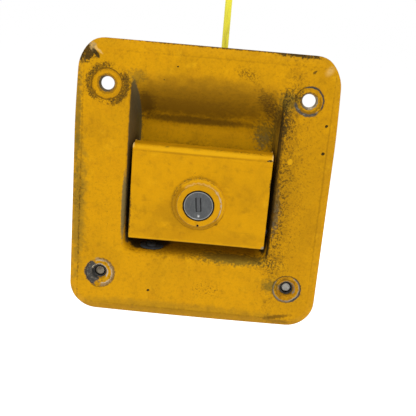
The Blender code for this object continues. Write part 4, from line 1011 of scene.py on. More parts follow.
def dishFinish():
    paint = startPaint("paintDish")
    addDamageAndPaintedLight(paint, dishDamageAndPaintedLight)
    layer(paint, "crevices", 0.55, paintColours["brown"], 0.75, Reach=5.0, Low=0.30, High=0.62,
          Break=paint["rough"], Ragged=0.8)  # grime
    layer(paint, "edges", 0.5, paintColours["filmAndShade"], 0.5, height=-0.3, Reach=0.5, Low=0.03, High=0.16,
          Break=paint["rough"])
    return endFinish(paint, 0.55, 0.18)


makeDish(dishSettings, dishFinish())
print("dish made")


# the paddle: a folded cover with cheeks, hung on the pivot pin

paddleSettings = {
    "sheet": 1.5,
    "lipDrop": 1.2,
    "footDrop": 0.35,
    "lipRadius": 2.2,
    "edgeRadius": 0.55,
    "levels": {"low": -26.4, "cheekLow": -23.4, "cheekHigh": -6.0},
    "backs": {"lip": 4.0, "cheek": 10.0, "foot": 7.0},
    "bore": 9.2,
    "pinHole": 2.15,
    "nick": (31.9, -4.7, 17.4, 0.9),
}


def makePaddle(look, material):
    low, high = boxOf("paddle")
    high.z -= look["lipDrop"]
    low.z -= look["footDrop"]
    bm = block(low, high)
    bmesh.ops.delete(bm, geom=[f for f in bm.faces if f.normal.y > 0.9], context="FACES")
    for level in (look["levels"]["cheekLow"], look["levels"]["cheekHigh"]):
        bmesh.ops.bisect_plane(
            bm, geom=bm.verts[:] + bm.edges[:] + bm.faces[:], dist=0.001, plane_co=(0.0, 0.0, level),
            plane_no=(0.0, 0.0, 1.0))
    for vert in (v for v in bm.verts if v.co.y > 0.0):
        if vert.co.z > 0.0:
            vert.co.y = look["backs"]["lip"]
        elif vert.co.z < look["levels"]["cheekLow"] - 1.0:
            vert.co.y = look["backs"]["foot"]
        else:
            vert.co.y = look["backs"]["cheek"]
    flattened(bm)
    top = [e for e in bm.edges if all(v.co.y < 0.0 and v.co.z > 0.0 for v in e.verts)]
    bmesh.ops.bevel(
        bm, geom=top, offset=look["lipRadius"], offset_type="OFFSET", affect="EDGES", segments=10,
        profile=0.5, material=-1)
    softEdges(bm, look["edgeRadius"], 50.0, 4)
    tidied(bm)
    front = min(bm.faces, key=lambda face: face.calc_center_median().y)
    if front.normal.y > 0.0:
        bmesh.ops.reverse_faces(bm, faces=bm.faces)
    bmesh.ops.solidify(bm, geom=list(bm.faces), thickness=look["sheet"])
    tidied(bm)
    softEdges(bm, 0.22, 60.0)
    pinY, pinZ = middleOf("pivot_pin").yz
    lock = middleOf("lock_housing")
    nickX, nickY, nickZ, nickRadius = look["nick"]
    bm = carved(
        bm,
        prism(look["pinHole"], low.x - 1.0, high.x + 1.0, (0.0, pinY, pinZ), 32, "X"),
        prism(look["bore"], low.y - 1.0, 2.0, (lock.x, 0.0, lock.z), 64, "Y"),
        ballCutter(nickX, nickY, nickZ, nickRadius, (1.2, 0.8, 0.5)))
    return makePiece("paddleCover", bm, material, "paddle", "paddle", 38.0)


lockFront = (0.0, -4.5, -6.7)
paddleDamageAndPaintedLight = [
    # painted shade: the paddle's outer cheeks are painted near black, for the gaps at its sides
    dab((-33.6, 5.0, -4.0), (0.9, 8.0, 24.0), "sootAndShade", 0.93, 0.15, 0.2),
    dab((33.6, 5.0, -4.0), (0.9, 8.0, 24.0), "sootAndShade", 0.93, 0.15, 0.2),
    dab((-13.0, -4.5, -13.0), (9.0, 3.0, 6.0), "filmAndShade", 0.40, 0.6, 1.2, grain="coarse"),
    dab((22.0, -4.5, -3.0), (5.0, 3.0, 5.0), "filmAndShade", 0.30, 0.6, 1.2, grain="coarse"),
    dab((0.0, -4.5, -23.0), (34.0, 3.0, 4.0), "filmAndShade", 0.25, 0.6, 1.2, grain="coarse"),
    arc(lockFront, 13.2, 1.2, "filmAndShade", 0.4, 0.9, toward=(-0.7, 0.0, 0.7), reach=0.1),
    arc(lockFront, 12.9, 0.7, "olive", 0.6, 0.7, toward=(-0.8, 0.0, 0.6), reach=0.35, specks=(0.9, 0.85)),
    # painted shadow: a darker arc below the collar, where its step shades the paddle
    arc(lockFront, 12.7, 0.8, "filmAndShade", 0.8, 0.3, toward=(-0.4, 0.0, -0.9), reach=-0.1),
    dab((8.5, -4.5, -15.8), (1.0, 3.0, 0.7), "brown", 0.7, 0.4, 1.4, turn=-20.0),
    dab((-2.0, -4.5, 7.6), (3.5, 3.0, 1.6), "sootAndShade", 0.8, 0.5, specks=(0.5, 0.6)),
    dab((31.6, -4.5, 17.3), (1.6, 3.0, 0.55), "sootAndShade", 0.95, 0.15, 0.5, turn=5.0),
    dab((33.0, -2.8, 18.6), (0.6, 3.0, 1.6), "pale", 0.85, 0.2, 0.8),
    dab((-33.0, -3.2, 19.2), (0.6, 3.0, 1.4), "pale", 0.85, 0.2, 0.8),
    dab((-17.0, -3.4, 19.3), (1.2, 2.0, 0.5), "sootAndShade", 0.85, 0.3, 1.4),
    dab((-3.0, -3.4, 19.3), (2.0, 2.0, 0.5), "sootAndShade", 0.85, 0.3, 1.6),
    dab((15.0, -3.0, 19.6), (14.0, 2.0, 0.5), "sootAndShade", 0.8, 0.4, 1.6, specks=(0.8, 0.7)),
    dab((33.0, -4.0, -26.2), (1.3, 3.0, 1.2), "bareGrey", 0.9, 0.2, 0.8),
    dab((-33.0, -4.0, -15.0), (0.55, 2.0, 10.0), "sootAndShade", 0.7, 0.4, 1.6),
    dab((-31.8, -4.5, -16.0), (1.6, 2.0, 10.0), "brown", 0.7, 0.4, specks=(0.5, 0.55)),
    dab((33.1, -4.0, 6.0), (0.7, 2.0, 3.0), "sootAndShade", 0.85, 0.4, 1.4),
    # painted shade: the underside of the paddle's bottom edge is painted dark
    dab((0.0, -3.2, -26.6), (36.0, 1.6, 0.6), "sootAndShade", 0.7, 0.3, 0.3),
    # painted highlight: a bright line along the paddle's bottom edge
    dab((-4.0, -4.4, -25.9), (36.0, 1.2, 0.35), "bright", 0.45, 0.3, 0.8),
    # painted highlight: a bright band along the top lip, which faces the light; below it a line of painted
    # shade along the crease
    dab((0.0, -4.0, 18.6), (33.5, 2.0, 1.2), "bright", 0.8, 0.3, 0.4),
    dab((0.0, -4.5, 17.0), (33.0, 2.0, 0.45), "filmAndShade", 0.55, 0.6, 0.6),
]


def paddleFinish():
    paint = startPaint("paintPaddle")
    addDamageAndPaintedLight(paint, paddleDamageAndPaintedLight)
    layer(paint, "mottle", 0.22, paintColours["filmAndShade"], 0.6, Place=stretched(paint, (0.10, 1.0, 1.6)),
          Size=1.6, Low=0.60, High=0.72)
    layer(paint, "edges", 0.55, paintColours["pale"], 0.5, height=-0.3, Reach=0.45, Low=0.03, High=0.16,
          Break=paint["rough"])
    return endFinish(paint, 0.5, 0.15)


makePaddle(paddleSettings, paddleFinish())
print("paddle made")


# the lock: a painted collar, a steel plug with its keyway, and a threaded housing behind

collarSettings = {
    "profile": ((12.6, -4.5), (12.6, -4.8), (12.4, -5.02), (11.9, -5.28), (11.45, -5.72), (11.1, -6.35),
                (10.9, -7.0), (10.72, -7.36), (10.5, -7.56), (10.3, -7.6), (10.2, -7.5), (10.1, -7.56),
                (9.3, -7.6), (7.8, -7.6), (7.5, -7.5), (7.4, -7.3), (7.35, -7.0), (7.35, -4.5)),
    "dot": (0.3, -16.5, 0.6),
    "dotDepth": (-9.0, -6.9),
}


def makeCollar(look, material):
    lock = middleOf("lock_housing")
    bm = turned(look["profile"], (lock.x, 0.0, lock.z), "Y", 96)
    x, z, radius = look["dot"]
    low, high = look["dotDepth"]
    bm = carved(bm, prism(radius, low, high, (x, 0.0, z), 24, "Y"))
    return makePiece("lockCollar", bm, material, "paddle", "lock_collar", 34.0)


def collarFinish():
    paint = startPaint("paintCollar")
    lock = middleOf("lock_housing")
    centre = (lock.x, -7.0, lock.z)
    addDamageAndPaintedLight(paint, [
        # painted shade: the groove line is darker on its lower left
        arc(centre, 10.35, 0.38, "brown", 0.7, 0.45, toward=(-0.5, 0.0, -0.8), reach=-0.35),
        arc(centre, 10.4, 0.38, "filmAndShade", 0.6, 0.4),
        # painted highlight on the upper right of the rim
        arc(centre, 10.85, 0.5, "pale", 0.38, 0.6, toward=(0.6, 0.0, 0.8), reach=0.25),
        arc(centre, 10.8, 0.5, "barePale", 0.8, 0.8, toward=(1.0, 0.0, 0.1), reach=0.75, specks=(0.9, 1.0)),
        # painted shade: a dark ring at the bore, for the gap round the plug
        arc(centre, 7.4, 0.55, "sootAndShade", 0.92, 0.15),
        # painted shade over the lower left of the collar's slope
        arc(centre, 11.6, 2.0, "filmAndShade", 0.62, 0.5, toward=(-0.6, 0.0, -0.7), reach=-0.1),
        arc(centre, 12.2, 0.7, "brown", 0.6, 0.7, toward=(-0.4, 0.0, 0.9), reach=0.5, specks=(0.9, 0.8)),
        # painted highlight over the upper right of the collar's slope
        arc(centre, 11.6, 1.0, "bright", 0.7, 0.4, toward=(0.6, 0.0, 0.8), reach=0.1),
        dab((0.3, -7.2, -16.5), (0.6, 2.0, 0.6), "sootAndShade", edge=0.1, ragged=0.1),
    ])
    layer(paint, "edges", 0.3, paintColours["pale"], 0.5, Reach=0.4, Low=0.03, High=0.16,
          Break=paint["rough"])  # bare
    return endFinish(paint, 0.5, 0.15)


makeCollar(collarSettings, collarFinish())

plugSettings = {
    "radius": 7.0,
    "rim": 0.42,
    "rimStep": 0.22,
    "rimShine": (6.82, 0.6),
    "keyway": {"wide": 2.7, "low": -9.6, "high": -2.6, "deep": 6.0},
    "shutter": {"wide": 2.05, "gap": 0.02, "down": 0.35},
    "turn": -5.5,
    "groove": (2.2, 0.2, -12.0),
    "dimple": (0.35, -11.7, 0.7),
    "dimpleShine": 0.65,
}


def makePlug(look, material, shutterMaterial):
    low, high = boxOf("key_plug")
    centre = middleOf("key_plug")
    radius = look["radius"]
    front = low.y
    face = front + look["rimStep"]
    bm = turned((
        (0.0, face), (radius - look["rim"] - 0.25, face), (radius - look["rim"], front + 0.05),
        (radius - look["rim"] + 0.12, front), (radius - 0.15, front), (radius, front + 0.18),
        (radius, high.y - 0.3), (radius - 0.3, high.y), (0.0, high.y),
    ), (centre.x, 0.0, centre.z), "Y", 96)
    way = look["keyway"]
    slot = block(
        (centre.x - way["wide"] / 2, front - 1.0, way["low"]),
        (centre.x + way["wide"] / 2, front + way["deep"], way["high"]))
    softEdges(slot, 0.35, 60.0, 3)
    grooveWide, grooveDeep, grooveLow = look["groove"]
    groove = block(
        (centre.x - grooveWide / 2, front - 1.0, grooveLow),
        (centre.x + grooveWide / 2, face + grooveDeep, way["low"] + 0.3))
    softEdges(groove, 0.1, 60.0)
    askew = Matrix.Rotation(math.radians(look["turn"]), 3, "Y")
    for part in (slot, groove):
        bmesh.ops.rotate(part, verts=part.verts, cent=centre, matrix=askew)
    x, z, dot = look["dimple"]
    bm = carved(bm, slot, groove, ballCutter(x, face - 0.2, z, dot))
    leafLook = look["shutter"]
    leaf = block(
        (centre.x - leafLook["wide"] / 2, front + leafLook["down"], way["low"] + leafLook["gap"]),
        (centre.x + leafLook["wide"] / 2, front + way["deep"] - 0.4, way["high"] - leafLook["gap"]))
    softEdges(leaf, 0.3, 60.0, 3)
    bmesh.ops.rotate(leaf, verts=leaf.verts, cent=centre, matrix=askew)
    makePiece("keyPlug", bm, material, "plug", "key_plug", 34.0)
    return makePiece("keyShutter", leaf, shutterMaterial, "plug", "key_plug", 34.0)


def plugFinish(look):
    metal = startFinish("lockPlugFace", (0.078, 0.081, 0.082), 0.45, 1.0)
    lock = middleOf("key_plug")
    rimRadius, rimWidth = look["rimShine"]
    dimpleX, dimpleZ = look["dimple"][:2]
    shine = look["dimpleShine"]
    layer(metal, "mottle", 0.6, (0.115, 0.118, 0.118), 0.5, Size=3.0, Low=0.4, High=0.7, Detail=4.0)  # broad
    layer(metal, "mottle", 0.45, (0.16, 0.16, 0.16), height=0.1, Place=stretched(metal, (3.0, 1.0, 0.35)),
          Size=0.9, Low=0.5, High=0.75)
    metal["rough"] = effect(metal, "mottle", Size=0.8, Low=0.25, High=0.75, Detail=3.0)
    layer(metal, "ring", 0.9, (0.24, 0.24, 0.235), 0.40, Centre=(lock.x, 0.0, lock.z), Radius=rimRadius,
          Width=rimWidth, Ragged=0.15, Break=metal["rough"])  # rim
    layer(metal, "specks", 0.7, (0.03, 0.03, 0.03), 0.7, height=-0.2, Size=0.5, Amount=0.3, Edge=0.06)
    bright = effect(
        metal, "spot", Centre=(dimpleX, -7.2, dimpleZ), Radii=(shine, 2.0, shine), Edge=0.3, Ragged=0.2,
        Break=metal["rough"])
    coat(metal, bright, (0.40, 0.40, 0.39), 0.3)
    return endFinish(metal, 0.4, 0.1)


def shutterFinish():
    metal = startFinish("lockShutter", (0.072, 0.074, 0.076), 0.42, 1.0)
    layer(metal, "mottle", 0.6, (0.12, 0.12, 0.12), 0.5, Place=stretched(metal, (2.0, 1.0, 0.4)), Size=1.4,
          Low=0.4, High=0.7)
    layer(metal, "specks", 0.6, (0.04, 0.04, 0.04), 0.8, height=-0.2, Size=0.4, Amount=0.4)  # grain
    return endFinish(metal, 0.4, 0.1)


makePlug(plugSettings, plugFinish(plugSettings), shutterFinish())


housingSettings = {
    "pitch": 1.25,
    "threadDepth": 0.35,
    "smooth": 3.0,
    "face": -4.5,
    "bore": 7.65,
}


def threadProfile(radius, depth, pitch, low, high):  # ridges from low to high, as (radius, place)
    points = []
    turns = int((high - low) / pitch)
    for turn in range(turns):
        start = low + turn * pitch
        points += [(radius - depth, start), (radius - 0.05 * depth, start + 0.42 * pitch),
                   (radius - 0.05 * depth, start + 0.58 * pitch)]
    return points + [(radius - depth, low + turns * pitch)]


def makeLockHousing(look, material):
    low, high = boxOf("lock_housing")
    centre = middleOf("lock_housing")
    radius = (high.x - low.x) / 2
    back = high.y
    start = look["face"] + look["smooth"]
    ridges = threadProfile(radius, look["threadDepth"], look["pitch"], start, back - 0.6)
    profile = [(look["bore"], look["face"]), (radius, look["face"])] + ridges
    profile += [(radius - 0.6, back), (look["bore"] + 0.3, back), (look["bore"], back - 0.3)]
    bm = turned(profile, (centre.x, 0.0, centre.z), "Y", 72)
    return makePiece("lockBarrel", bm, material, "paddle", "lock_housing", 25.0)


def barrelFinish():
    metal = metalFinish("lockBarrelCast", (0.36, 0.36, 0.37), 0.40, (0.20, 0.20, 0.21), 0.7)
    layer(metal, "mottle", 0.25, (0.5, 0.5, 0.5), height=0.2, how="MULTIPLY",
          Place=stretched(metal, (0.2, 2.5, 0.2)), Size=0.9, Low=0.3, High=0.7)  # turning marks
    return endFinish(metal)


finishes["barrel"] = barrelFinish()
makeLockHousing(housingSettings, finishes["barrel"])

nutSettings = {"lock": {"bore": 9.0, "chamfer": 0.90}, "weld": {"bore": 2.55, "chamfer": 0.90}}


def makeNut(name, node, look, material, body, angle=0.0):
    low, high = boxOf(node)
    centre = middleOf(node)
    corner = max(high.x - low.x, high.z - low.z) / 2
    bm = prism(corner, low.y, high.y, (centre.x, 0.0, centre.z), 6, "Y", angle)
    flat = corner * math.cos(math.pi / 6)
    drop = (corner - look["chamfer"] * flat) * 0.45
    bm = carved(bm, turned((
        (0.0, low.y - 0.01), (0.97 * flat, low.y - 0.01), (corner + 0.4, low.y + drop),
        (corner + 0.4, high.y - drop), (0.97 * flat, high.y + 0.01), (0.0, high.y + 0.01),
    ), (centre.x, 0.0, centre.z), "Y", 64), how="INTERSECT")
    bore = look["bore"]
    bm = carved(bm, turned((
        (0.0, low.y - 0.5), (bore + 0.9, low.y - 0.5), (bore, low.y + 0.4), (bore, high.y - 0.4),
        (bore + 0.9, high.y + 0.5), (0.0, high.y + 0.5),
    ), (centre.x, 0.0, centre.z), "Y", 48))
    softEdges(bm, 0.12, 35.0)
    return makePiece(name, bm, material, body, node, 30.0)


makeNut("lockNutHex", "lock_nut", nutSettings["lock"], finishes["zincWarm"], "paddle", math.pi / 6)
for side in ("left", "right"):
    makeNut(
        "weldNut" + side.capitalize(), "weld_nut_" + side, nutSettings["weld"], finishes["dull"], "housing")


def makeCamParts():
    bm = cadCopy("lock_cam", 0.25)
    makePiece("lockCamArm", bm, finishes["zincRolled"], "plug", "lock_cam")
    low, high = boxOf("cam_washer")
    centre = middleOf("cam_washer")
    outer, inner = (high.x - low.x) / 2, 1.7
    bm = turned((
        (inner, low.y), (outer - 0.12, low.y), (outer, low.y + 0.12), (outer, high.y - 0.12),
        (outer - 0.12, high.y), (inner, high.y),
    ), (centre.x, 0.0, centre.z), "Y", 48)
    makePiece("camWasherRing", bm, finishes["bright"], "plug", "cam_washer")
    makeScrew("camScrewPan", "cam_screw", finishes["zinc"], "plug", 1.5, 1.9)


# screws, bolts, washers and rivets, all along the lock's depth

def makeScrew(name, node, material, body, shank, headTall):
    low, high = boxOf(node)
    centre = middleOf(node)
    head = (high.x - low.x) / 2
    seat = high.y - headTall
    profile = [(0.0, low.y), (0.6 * shank, low.y)]
    profile += threadProfile(shank, 0.16, 0.5, low.y + 0.3, seat - 0.2)
    profile += [(shank, seat), (head - 0.1, seat), (head, seat + 0.15), (head, seat + 0.45 * headTall),
                (0.86 * head, high.y - 0.25), (0.6 * head, high.y - 0.03), (0.0, high.y)]
    bm = turned(profile, (centre.x, 0.0, centre.z), "Y", 40)
    arm, width, deep = 0.62 * head, 0.2 * head, 0.55 * headTall
    for wide, tall in ((arm, width), (width, arm)):  # a cross recess
        cutter = block(
            (centre.x - wide, high.y - deep, centre.z - tall),
            (centre.x + wide, high.y + 1.0, centre.z + tall))
        bm = carved(bm, cutter)
    return makePiece(name, bm, material, body, node, 28.0)


makeCamParts()

boltSettings = {
    "shank": 2.5,
    "pitch": 0.8,
    "threadDepth": 0.30,
    "headTall": 3.8,
}


def makeDoorBolt(side, look, material):
    node = "door_bolt_" + side
    low, high = boxOf(node)
    centre = middleOf(node)
    seat = high.y - look["headTall"]
    corner = (high.x - low.x) / 2
    flat = corner * math.cos(math.pi / 6)
    head = prism(corner, seat, high.y, (centre.x, 0.0, centre.z), 6, "Y")
    head = carved(head, turned((
        (0.0, seat - 0.5), (corner + 0.5, seat - 0.5), (corner + 0.5, high.y - 0.55), (0.93 * flat, high.y),
        (0.8 * flat, high.y), (0.74 * flat, high.y - 0.25), (0.0, high.y - 0.25),
    ), (centre.x, 0.0, centre.z), "Y", 64), how="INTERSECT")
    softEdges(head, 0.14, 35.0)
    tip = low.y
    shank = look["shank"]
    profile = [(0.0, tip + 0.12), (0.55 * shank, tip + 0.05), (0.62 * shank, tip), (0.8 * shank, tip + 0.1)]
    profile += threadProfile(shank, look["threadDepth"], look["pitch"], tip + 0.55, seat - 0.1)
    profile += [(shank - 0.3, seat + 0.3), (0.0, seat + 0.3)]
    bm = added(head, turned(profile, (centre.x, 0.0, centre.z), "Y", 48))
    return makePiece("doorBolt" + side.capitalize(), bm, material, "housing", node, 28.0)


def makeWasher(side, material):
    node = "bolt_washer_" + side
    low, high = boxOf(node)
    centre = middleOf(node)
    outer, inner, edge = (high.x - low.x) / 2, 2.75, 0.18
    bm = turned((
        (inner, low.y), (outer - edge, low.y), (outer, low.y + edge), (outer, high.y - 0.35),
        (outer - 0.35, high.y), (inner + edge, high.y), (inner, high.y - edge),
    ), (centre.x, 0.0, centre.z), "Y", 64)
    return makePiece("boltWasher" + side.capitalize(), bm, material, "housing", node)


def makeRivet(name, node, material, body):  # a domed head in front and a pressed head behind
    low, high = boxOf(node)
    centre = middleOf(node)
    radius = (high.x - low.x) / 2
    shank, head = 0.58 * radius, min(1.4, 0.3 * (high.y - low.y))
    bm = turned((
        (0.0, low.y), (0.35 * radius, low.y + 0.04), (0.7 * radius, low.y + 0.35 * head),
        (0.94 * radius, low.y + 0.75 * head), (radius, low.y + head), (shank, low.y + head + 0.02),
        (shank, high.y - head), (0.96 * radius, high.y - head + 0.02), (radius, high.y - 0.7 * head),
        (0.82 * radius, high.y - 0.15), (0.45 * radius, high.y), (0.3 * radius, high.y - 0.2),
        (0.0, high.y - 0.3),
    ), (centre.x, 0.0, centre.z), "Y", 40)
    return makePiece(name, bm, material, body, node, 34.0)


for side, boltFinish in (("left", "boltRusty"), ("right", "boltClean")):
    makeDoorBolt(side, boltSettings, finishes[boltFinish])
    makeWasher(side, finishes["zinc"])
for number in range(1, 5):
    makeRivet(f"bracketRivetHead{number}", f"bracket_rivet_{number}", finishes["zinc"], "housing")
for number in range(1, 3):
    makeRivet(f"boltRivetHead{number}", f"bolt_rivet_{number}", finishes["zinc"], "slide")
for side in ("left", "right"):
    makeRivet("leverRivet" + side.capitalize(), "lever_rivet_" + side, finishes["zinc"], "paddle")
print("lock, bolts and rivets made")


# the pivot pin and what turns on it

pinSettings = {"groove": 0.35, "grooveWide": 1.2, "chamfer": 0.4}


def makePin(look, material):
    low, high = boxOf("pivot_pin")
    centre = middleOf("pivot_pin")
    radius = (high.y - low.y) / 2
    ends = []
    for node in ("pin_clip_left", "pin_clip_right"):
        ends.append(middleOf(node).x)
    half = look["grooveWide"] / 2
    profile = [(0.0, low.x), (radius - look["chamfer"], low.x), (radius, low.x + look["chamfer"])]
    for place in sorted(ends):
        profile += [(radius, place - half), (radius - look["groove"], place - half),
                    (radius - look["groove"], place + half), (radius, place + half)]
    profile += [(radius, high.x - look["chamfer"]), (radius - look["chamfer"], high.x), (0.0, high.x)]
    bm = turned(profile, (0.0, centre.y, centre.z), "X", 40)
    return makePiece("pivotPinRod", bm, material, "housing", "pivot_pin")


makePin(pinSettings, finishes["dull"])

clipSettings = {"inner": 1.75, "gap": 2.6, "ear": 1.1}


def makeClip(side, look, material):  # an E shaped clip pushed on from below
    node = "pin_clip_" + side
    low, high = boxOf(node)
    centre = middleOf(node)
    outer = (high.y - low.y) / 2
    bm = turned((
        (look["inner"], low.x), (outer, low.x), (outer, high.x), (look["inner"], high.x),
    ), (0.0, centre.y, centre.z), "X", 48)
    half = look["gap"] / 2
    cutters = [block((low.x - 1.0, centre.y - half, low.z - 1.0), (high.x + 1.0, centre.y + half, centre.z))]
    for angle in (-0.75, math.pi, 0.75):
        reach = 0.62 * outer
        y = centre.y + reach * math.sin(angle)
        z = centre.z + reach * math.cos(angle)
        cutters.append(prism(0.5 * look["ear"], low.x - 1.0, high.x + 1.0, (0.0, y, z), 20, "X"))
    bm = carved(bm, *cutters)
    softEdges(bm, 0.12, 45.0)
    return makePiece("pinClip" + side.capitalize(), bm, material, "housing", node)


for side in ("left", "right"):
    makeClip(side, clipSettings, finishes["dull"])

springSettings = {
    "torsion": {"wire": 1.2, "coil": 3.9, "start": 17.0, "pitch": 1.5, "from": 197.5, "turns": 4.349,
                "front": 11.5, "back": 10.7, "sides": 14, "steps": 36},
    "slide": {"wire": 1.0, "coil": 2.1, "across": -6.0, "deep": 23.8, "low": -5.2, "high": 17.7,
              "turns": 8, "sides": 12, "steps": 32, "keep": 0.682},
}


def wireEnd(bm, edges, direction, length, steps=1):  # carries an open end of wire straight on
    for _ in range(steps):
        grown = bmesh.ops.extrude_edge_only(bm, edges=edges)["geom"]
        bmesh.ops.translate(bm, verts=vertsIn(grown), vec=direction * (length / steps))
        edges = edgesIn(grown)
    bmesh.ops.contextual_create(bm, geom=edges)


def wireCircle(bm, look):
    made = bmesh.ops.create_circle(bm, cap_ends=False, segments=look["sides"], radius=look["wire"] / 2)
    return made["verts"]


def makePaddleSpring(look, material):
    pivot = middleOf("pivot_pin")
    bm = bmesh.new()
    start = math.radians(look["from"])
    outward = Vector((0.0, math.cos(start), math.sin(start)))
    ring = wireCircle(bm, look)
    # the wire's section lies across its run, between the axis and the way out from it
    frameTurn = Matrix((
        (1.0, 0.0, 0.0), (0.0, outward.y, -outward.z), (0.0, outward.z, outward.y),
    ))
    bmesh.ops.transform(bm, matrix=frameTurn.to_4x4(), verts=ring)
    bmesh.ops.translate(
        bm, verts=ring, vec=Vector((look["start"], pivot.y, pivot.z)) + outward * look["coil"])
    tangent = Vector((1.0, 0.0, 0.0)).cross(outward)
    first = list(bm.edges)
    steps = int(look["turns"] * look["steps"])
    made = bmesh.ops.spin(
        bm, geom=list(bm.verts) + first, cent=pivot * Vector((0.0, 1.0, 1.0)), axis=(1.0, 0.0, 0.0),
        dvec=(look["pitch"] * look["turns"] / steps, 0.0, 0.0), angle=look["turns"] * fullTurn, steps=steps,
        use_merge=False, use_duplicate=False)
    last = edgesIn(made["geom_last"])
    end = start + look["turns"] * fullTurn
    outwardEnd = Vector((0.0, math.cos(end), math.sin(end)))
    tangentEnd = Vector((1.0, 0.0, 0.0)).cross(outwardEnd)
    wireEnd(bm, first, -tangent, look["front"], 3)
    wireEnd(bm, last, tangentEnd, look["back"], 3)
    piece = makePiece("paddleSpringCoil", tidied(bm), material, None, "paddle_spring", weighted=False)
    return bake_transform(piece)


def makeSlideSpring(look, material):
    bm = bmesh.new()
    ring = wireCircle(bm, look)
    bmesh.ops.rotate(bm, verts=ring, cent=(0.0, 0.0, 0.0), matrix=Matrix.Rotation(math.pi / 2, 3, "X"))
    half = look["wire"] / 2
    centre = Vector((look["across"], look["deep"], look["low"]))
    bmesh.ops.translate(bm, verts=ring, vec=centre + Vector((look["coil"], 0.0, half * 0.2)))
    geom = list(bm.verts) + list(bm.edges)
    tall = look["high"] - look["low"]
    turns = ((1.0, 0.75 * look["wire"]), (look["turns"] - 2.0, None), (1.0, 0.75 * look["wire"]))
    middle = (tall - 1.5 * look["wire"]) / (look["turns"] - 2.0)
    first = list(bm.edges)
    for count, pitch in turns:  # the end coils lie closer than those between
        pitch = pitch if pitch else middle
        made = bmesh.ops.spin(
            bm, geom=geom, cent=centre, axis=(0.0, 0.0, 1.0), dvec=(0.0, 0.0, pitch / look["steps"]),
            angle=count * fullTurn, steps=int(count * look["steps"]), use_merge=False, use_duplicate=False)
        geom = made["geom_last"]
    bmesh.ops.contextual_create(bm, geom=edgesIn(geom))
    bmesh.ops.contextual_create(bm, geom=first)
    piece = makePiece("slideSpringCoil", tidied(bm), material, "housing", "slide_spring", weighted=False)
    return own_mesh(piece)


makePaddleSpring(springSettings["torsion"], finishes["spring"])
makeSlideSpring(springSettings["slide"], finishes["spring"])
print("pin, clips and springs made")


# the rubber stop and the gasket

stopSettings = {
    "wallTurn": math.degrees(math.atan(3 / 20)),
    "oval": (5.8, 3.7),
    "across": -21.9,
    "flangeTall": 1.3,
    "buttonTall": 2.2,
}


def makeStop(look, material):
    wide, deep = look["oval"]
    bm = turned((
        (0.0, 0.35), (0.96, 0.35), (1.0, 0.55), (0.99, 0.95), (0.93, 1.2), (0.84, look["flangeTall"]),
        (0.44, look["flangeTall"]), (0.40, 1.32), (0.375, 1.75), (0.355, 2.05), (0.31, look["buttonTall"]),
        (0.10, look["buttonTall"]), (0.06, 1.95), (0.0, 1.9),
    ), (0.0, 0.0, 0.0), "Z", 64)
    for vert in bm.verts:  # the flange is an oval, the button stays round
        radius = math.hypot(vert.co.x, vert.co.y)
        if vert.co.z <= look["flangeTall"] + 0.001 and radius > 0.43:
            vert.co.x *= wide
            vert.co.y *= deep
        else:
            vert.co.x *= wide
            vert.co.y *= wide
    stem = turned(((0.0, -3.2), (2.4, -3.2), (3.1, -2.6), (3.1, -2.25), (1.9, -2.2), (1.9, 0.6), (0.0, 0.6)),
                  (0.0, 0.0, 0.0), "Z", 40)
    bm = added(bm, stem)
    wallZ = dishSettings["opening"]["low"]
    rise = (dishSettings["floor"]["low"] - wallZ) / dishSettings["depth"]
    deepPlace = 3.2
    place = Vector((look["across"], deepPlace, wallZ + rise * (deepPlace - dishSettings["front"])))
    turn = Matrix.Rotation(math.radians(look["wallTurn"]), 4, "X")
    bmesh.ops.transform(bm, matrix=Matrix.Translation(place) @ turn, verts=bm.verts)
    return makePiece("stopPad", bm, material, "housing", "travel_stop", 40.0)


makeStop(stopSettings, finishes["stop"])
makePiece("flangeGasketFoam", cadCopy("flange_gasket", 0.3), finishes["gasket"], "housing", "flange_gasket")

# pressed and cut steel parts keep the frame's shape, with their edges eased

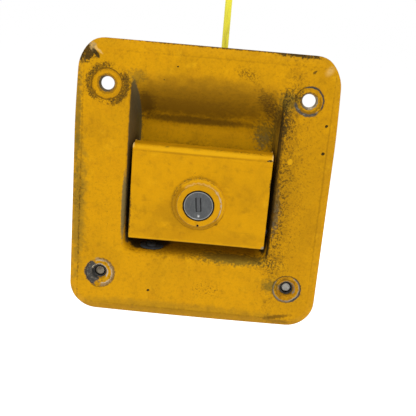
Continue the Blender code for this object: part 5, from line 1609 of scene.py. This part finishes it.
plateSettings = {
    "guide_bracket": ("guideBracketPressed", "zincRolled", "housing", 0.3),
    "lock_keeper": ("lockKeeperHook", "zinc", "housing", 0.2),
    "slide_plate": ("slidePlateCut", "zincRolled", "slide", 0.2),
    "latch_bolt": ("latchBoltBlock", "bright", "slide", 0.5),
    "lift_lever": ("liftLeverCut", "zinc", "paddle", 0.2),
    "cable_clamp": ("cableClampPressed", "zinc", "slide", 0.25),
    "cable_eye": ("cableEyeCrimped", "bright", "slide", 0.3),
}
for node, (name, finish, body, width) in plateSettings.items():
    makePiece(name, cadCopy(node, width), finishes[finish], body, node)
makeScrew("clampScrewPan", "clamp_screw", finishes["zincWarm"], "slide", 1.5, 2.0)
print("plates made")


# the studio: a pale floor well below, a white surround and soft lamps

studioSettings = {
    "floorLow": -0.30,
    "floorSize": 60.0,
    "floorColour": (1.0, 1.0, 1.0),
    "surround": 1.0,
    "lamps": {
        "keyLamp": {"place": (0.22, -0.75, 0.75), "size": 0.7, "power": 5.5},
        "fillLamp": {"place": (-0.7, -0.8, 0.25), "size": 0.8, "power": 1.5},
        "backLamp": {"place": (0.3, 0.9, 0.7), "size": 0.9, "power": 6.0},
    },
}


def floorFinish(look):
    floor = startFinish("studioFloor", look["floorColour"], 0.9, Specular_IOR_Level=0.0)
    layer(floor, "mottle", 0.02, (0.9, 0.9, 0.9), Size=400.0, Low=0.3, High=0.7)  # soft
    return endFinish(floor)


def makeStudio(look):
    bm = bmesh.new()
    bmesh.ops.create_grid(bm, x_segments=1, y_segments=1, size=look["floorSize"] / 2)
    mesh = bpy.data.meshes.new("studioFloor")
    bm.to_mesh(mesh)
    bm.free()
    mesh.materials.append(floorFinish(look))
    floor = bpy.data.objects.new("studioFloor", mesh)
    floor.location.z = look["floorLow"]
    bpy.context.collection.objects.link(floor)
    world = bpy.data.worlds.new("studioWorld")
    world.use_nodes = True
    background = world.node_tree.nodes["Background"]
    background.inputs["Color"].default_value = (1.0, 1.0, 1.0, 1.0)
    background.inputs["Strength"].default_value = look["surround"]
    bpy.context.scene.world = world
    for name, lamp in look["lamps"].items():
        data = bpy.data.lights.new(name, "AREA")
        data.shape = "DISK"
        data.size = lamp["size"]
        data.energy = lamp["power"]
        light = bpy.data.objects.new(name, data)
        light.location = lamp["place"]
        light.rotation_euler = (-Vector(lamp["place"])).to_track_quat("-Z", "Y").to_euler()
        bpy.context.collection.objects.link(light)
    bpy.context.scene.view_settings.view_transform = "Standard"


makeStudio(studioSettings)
print("studio made")
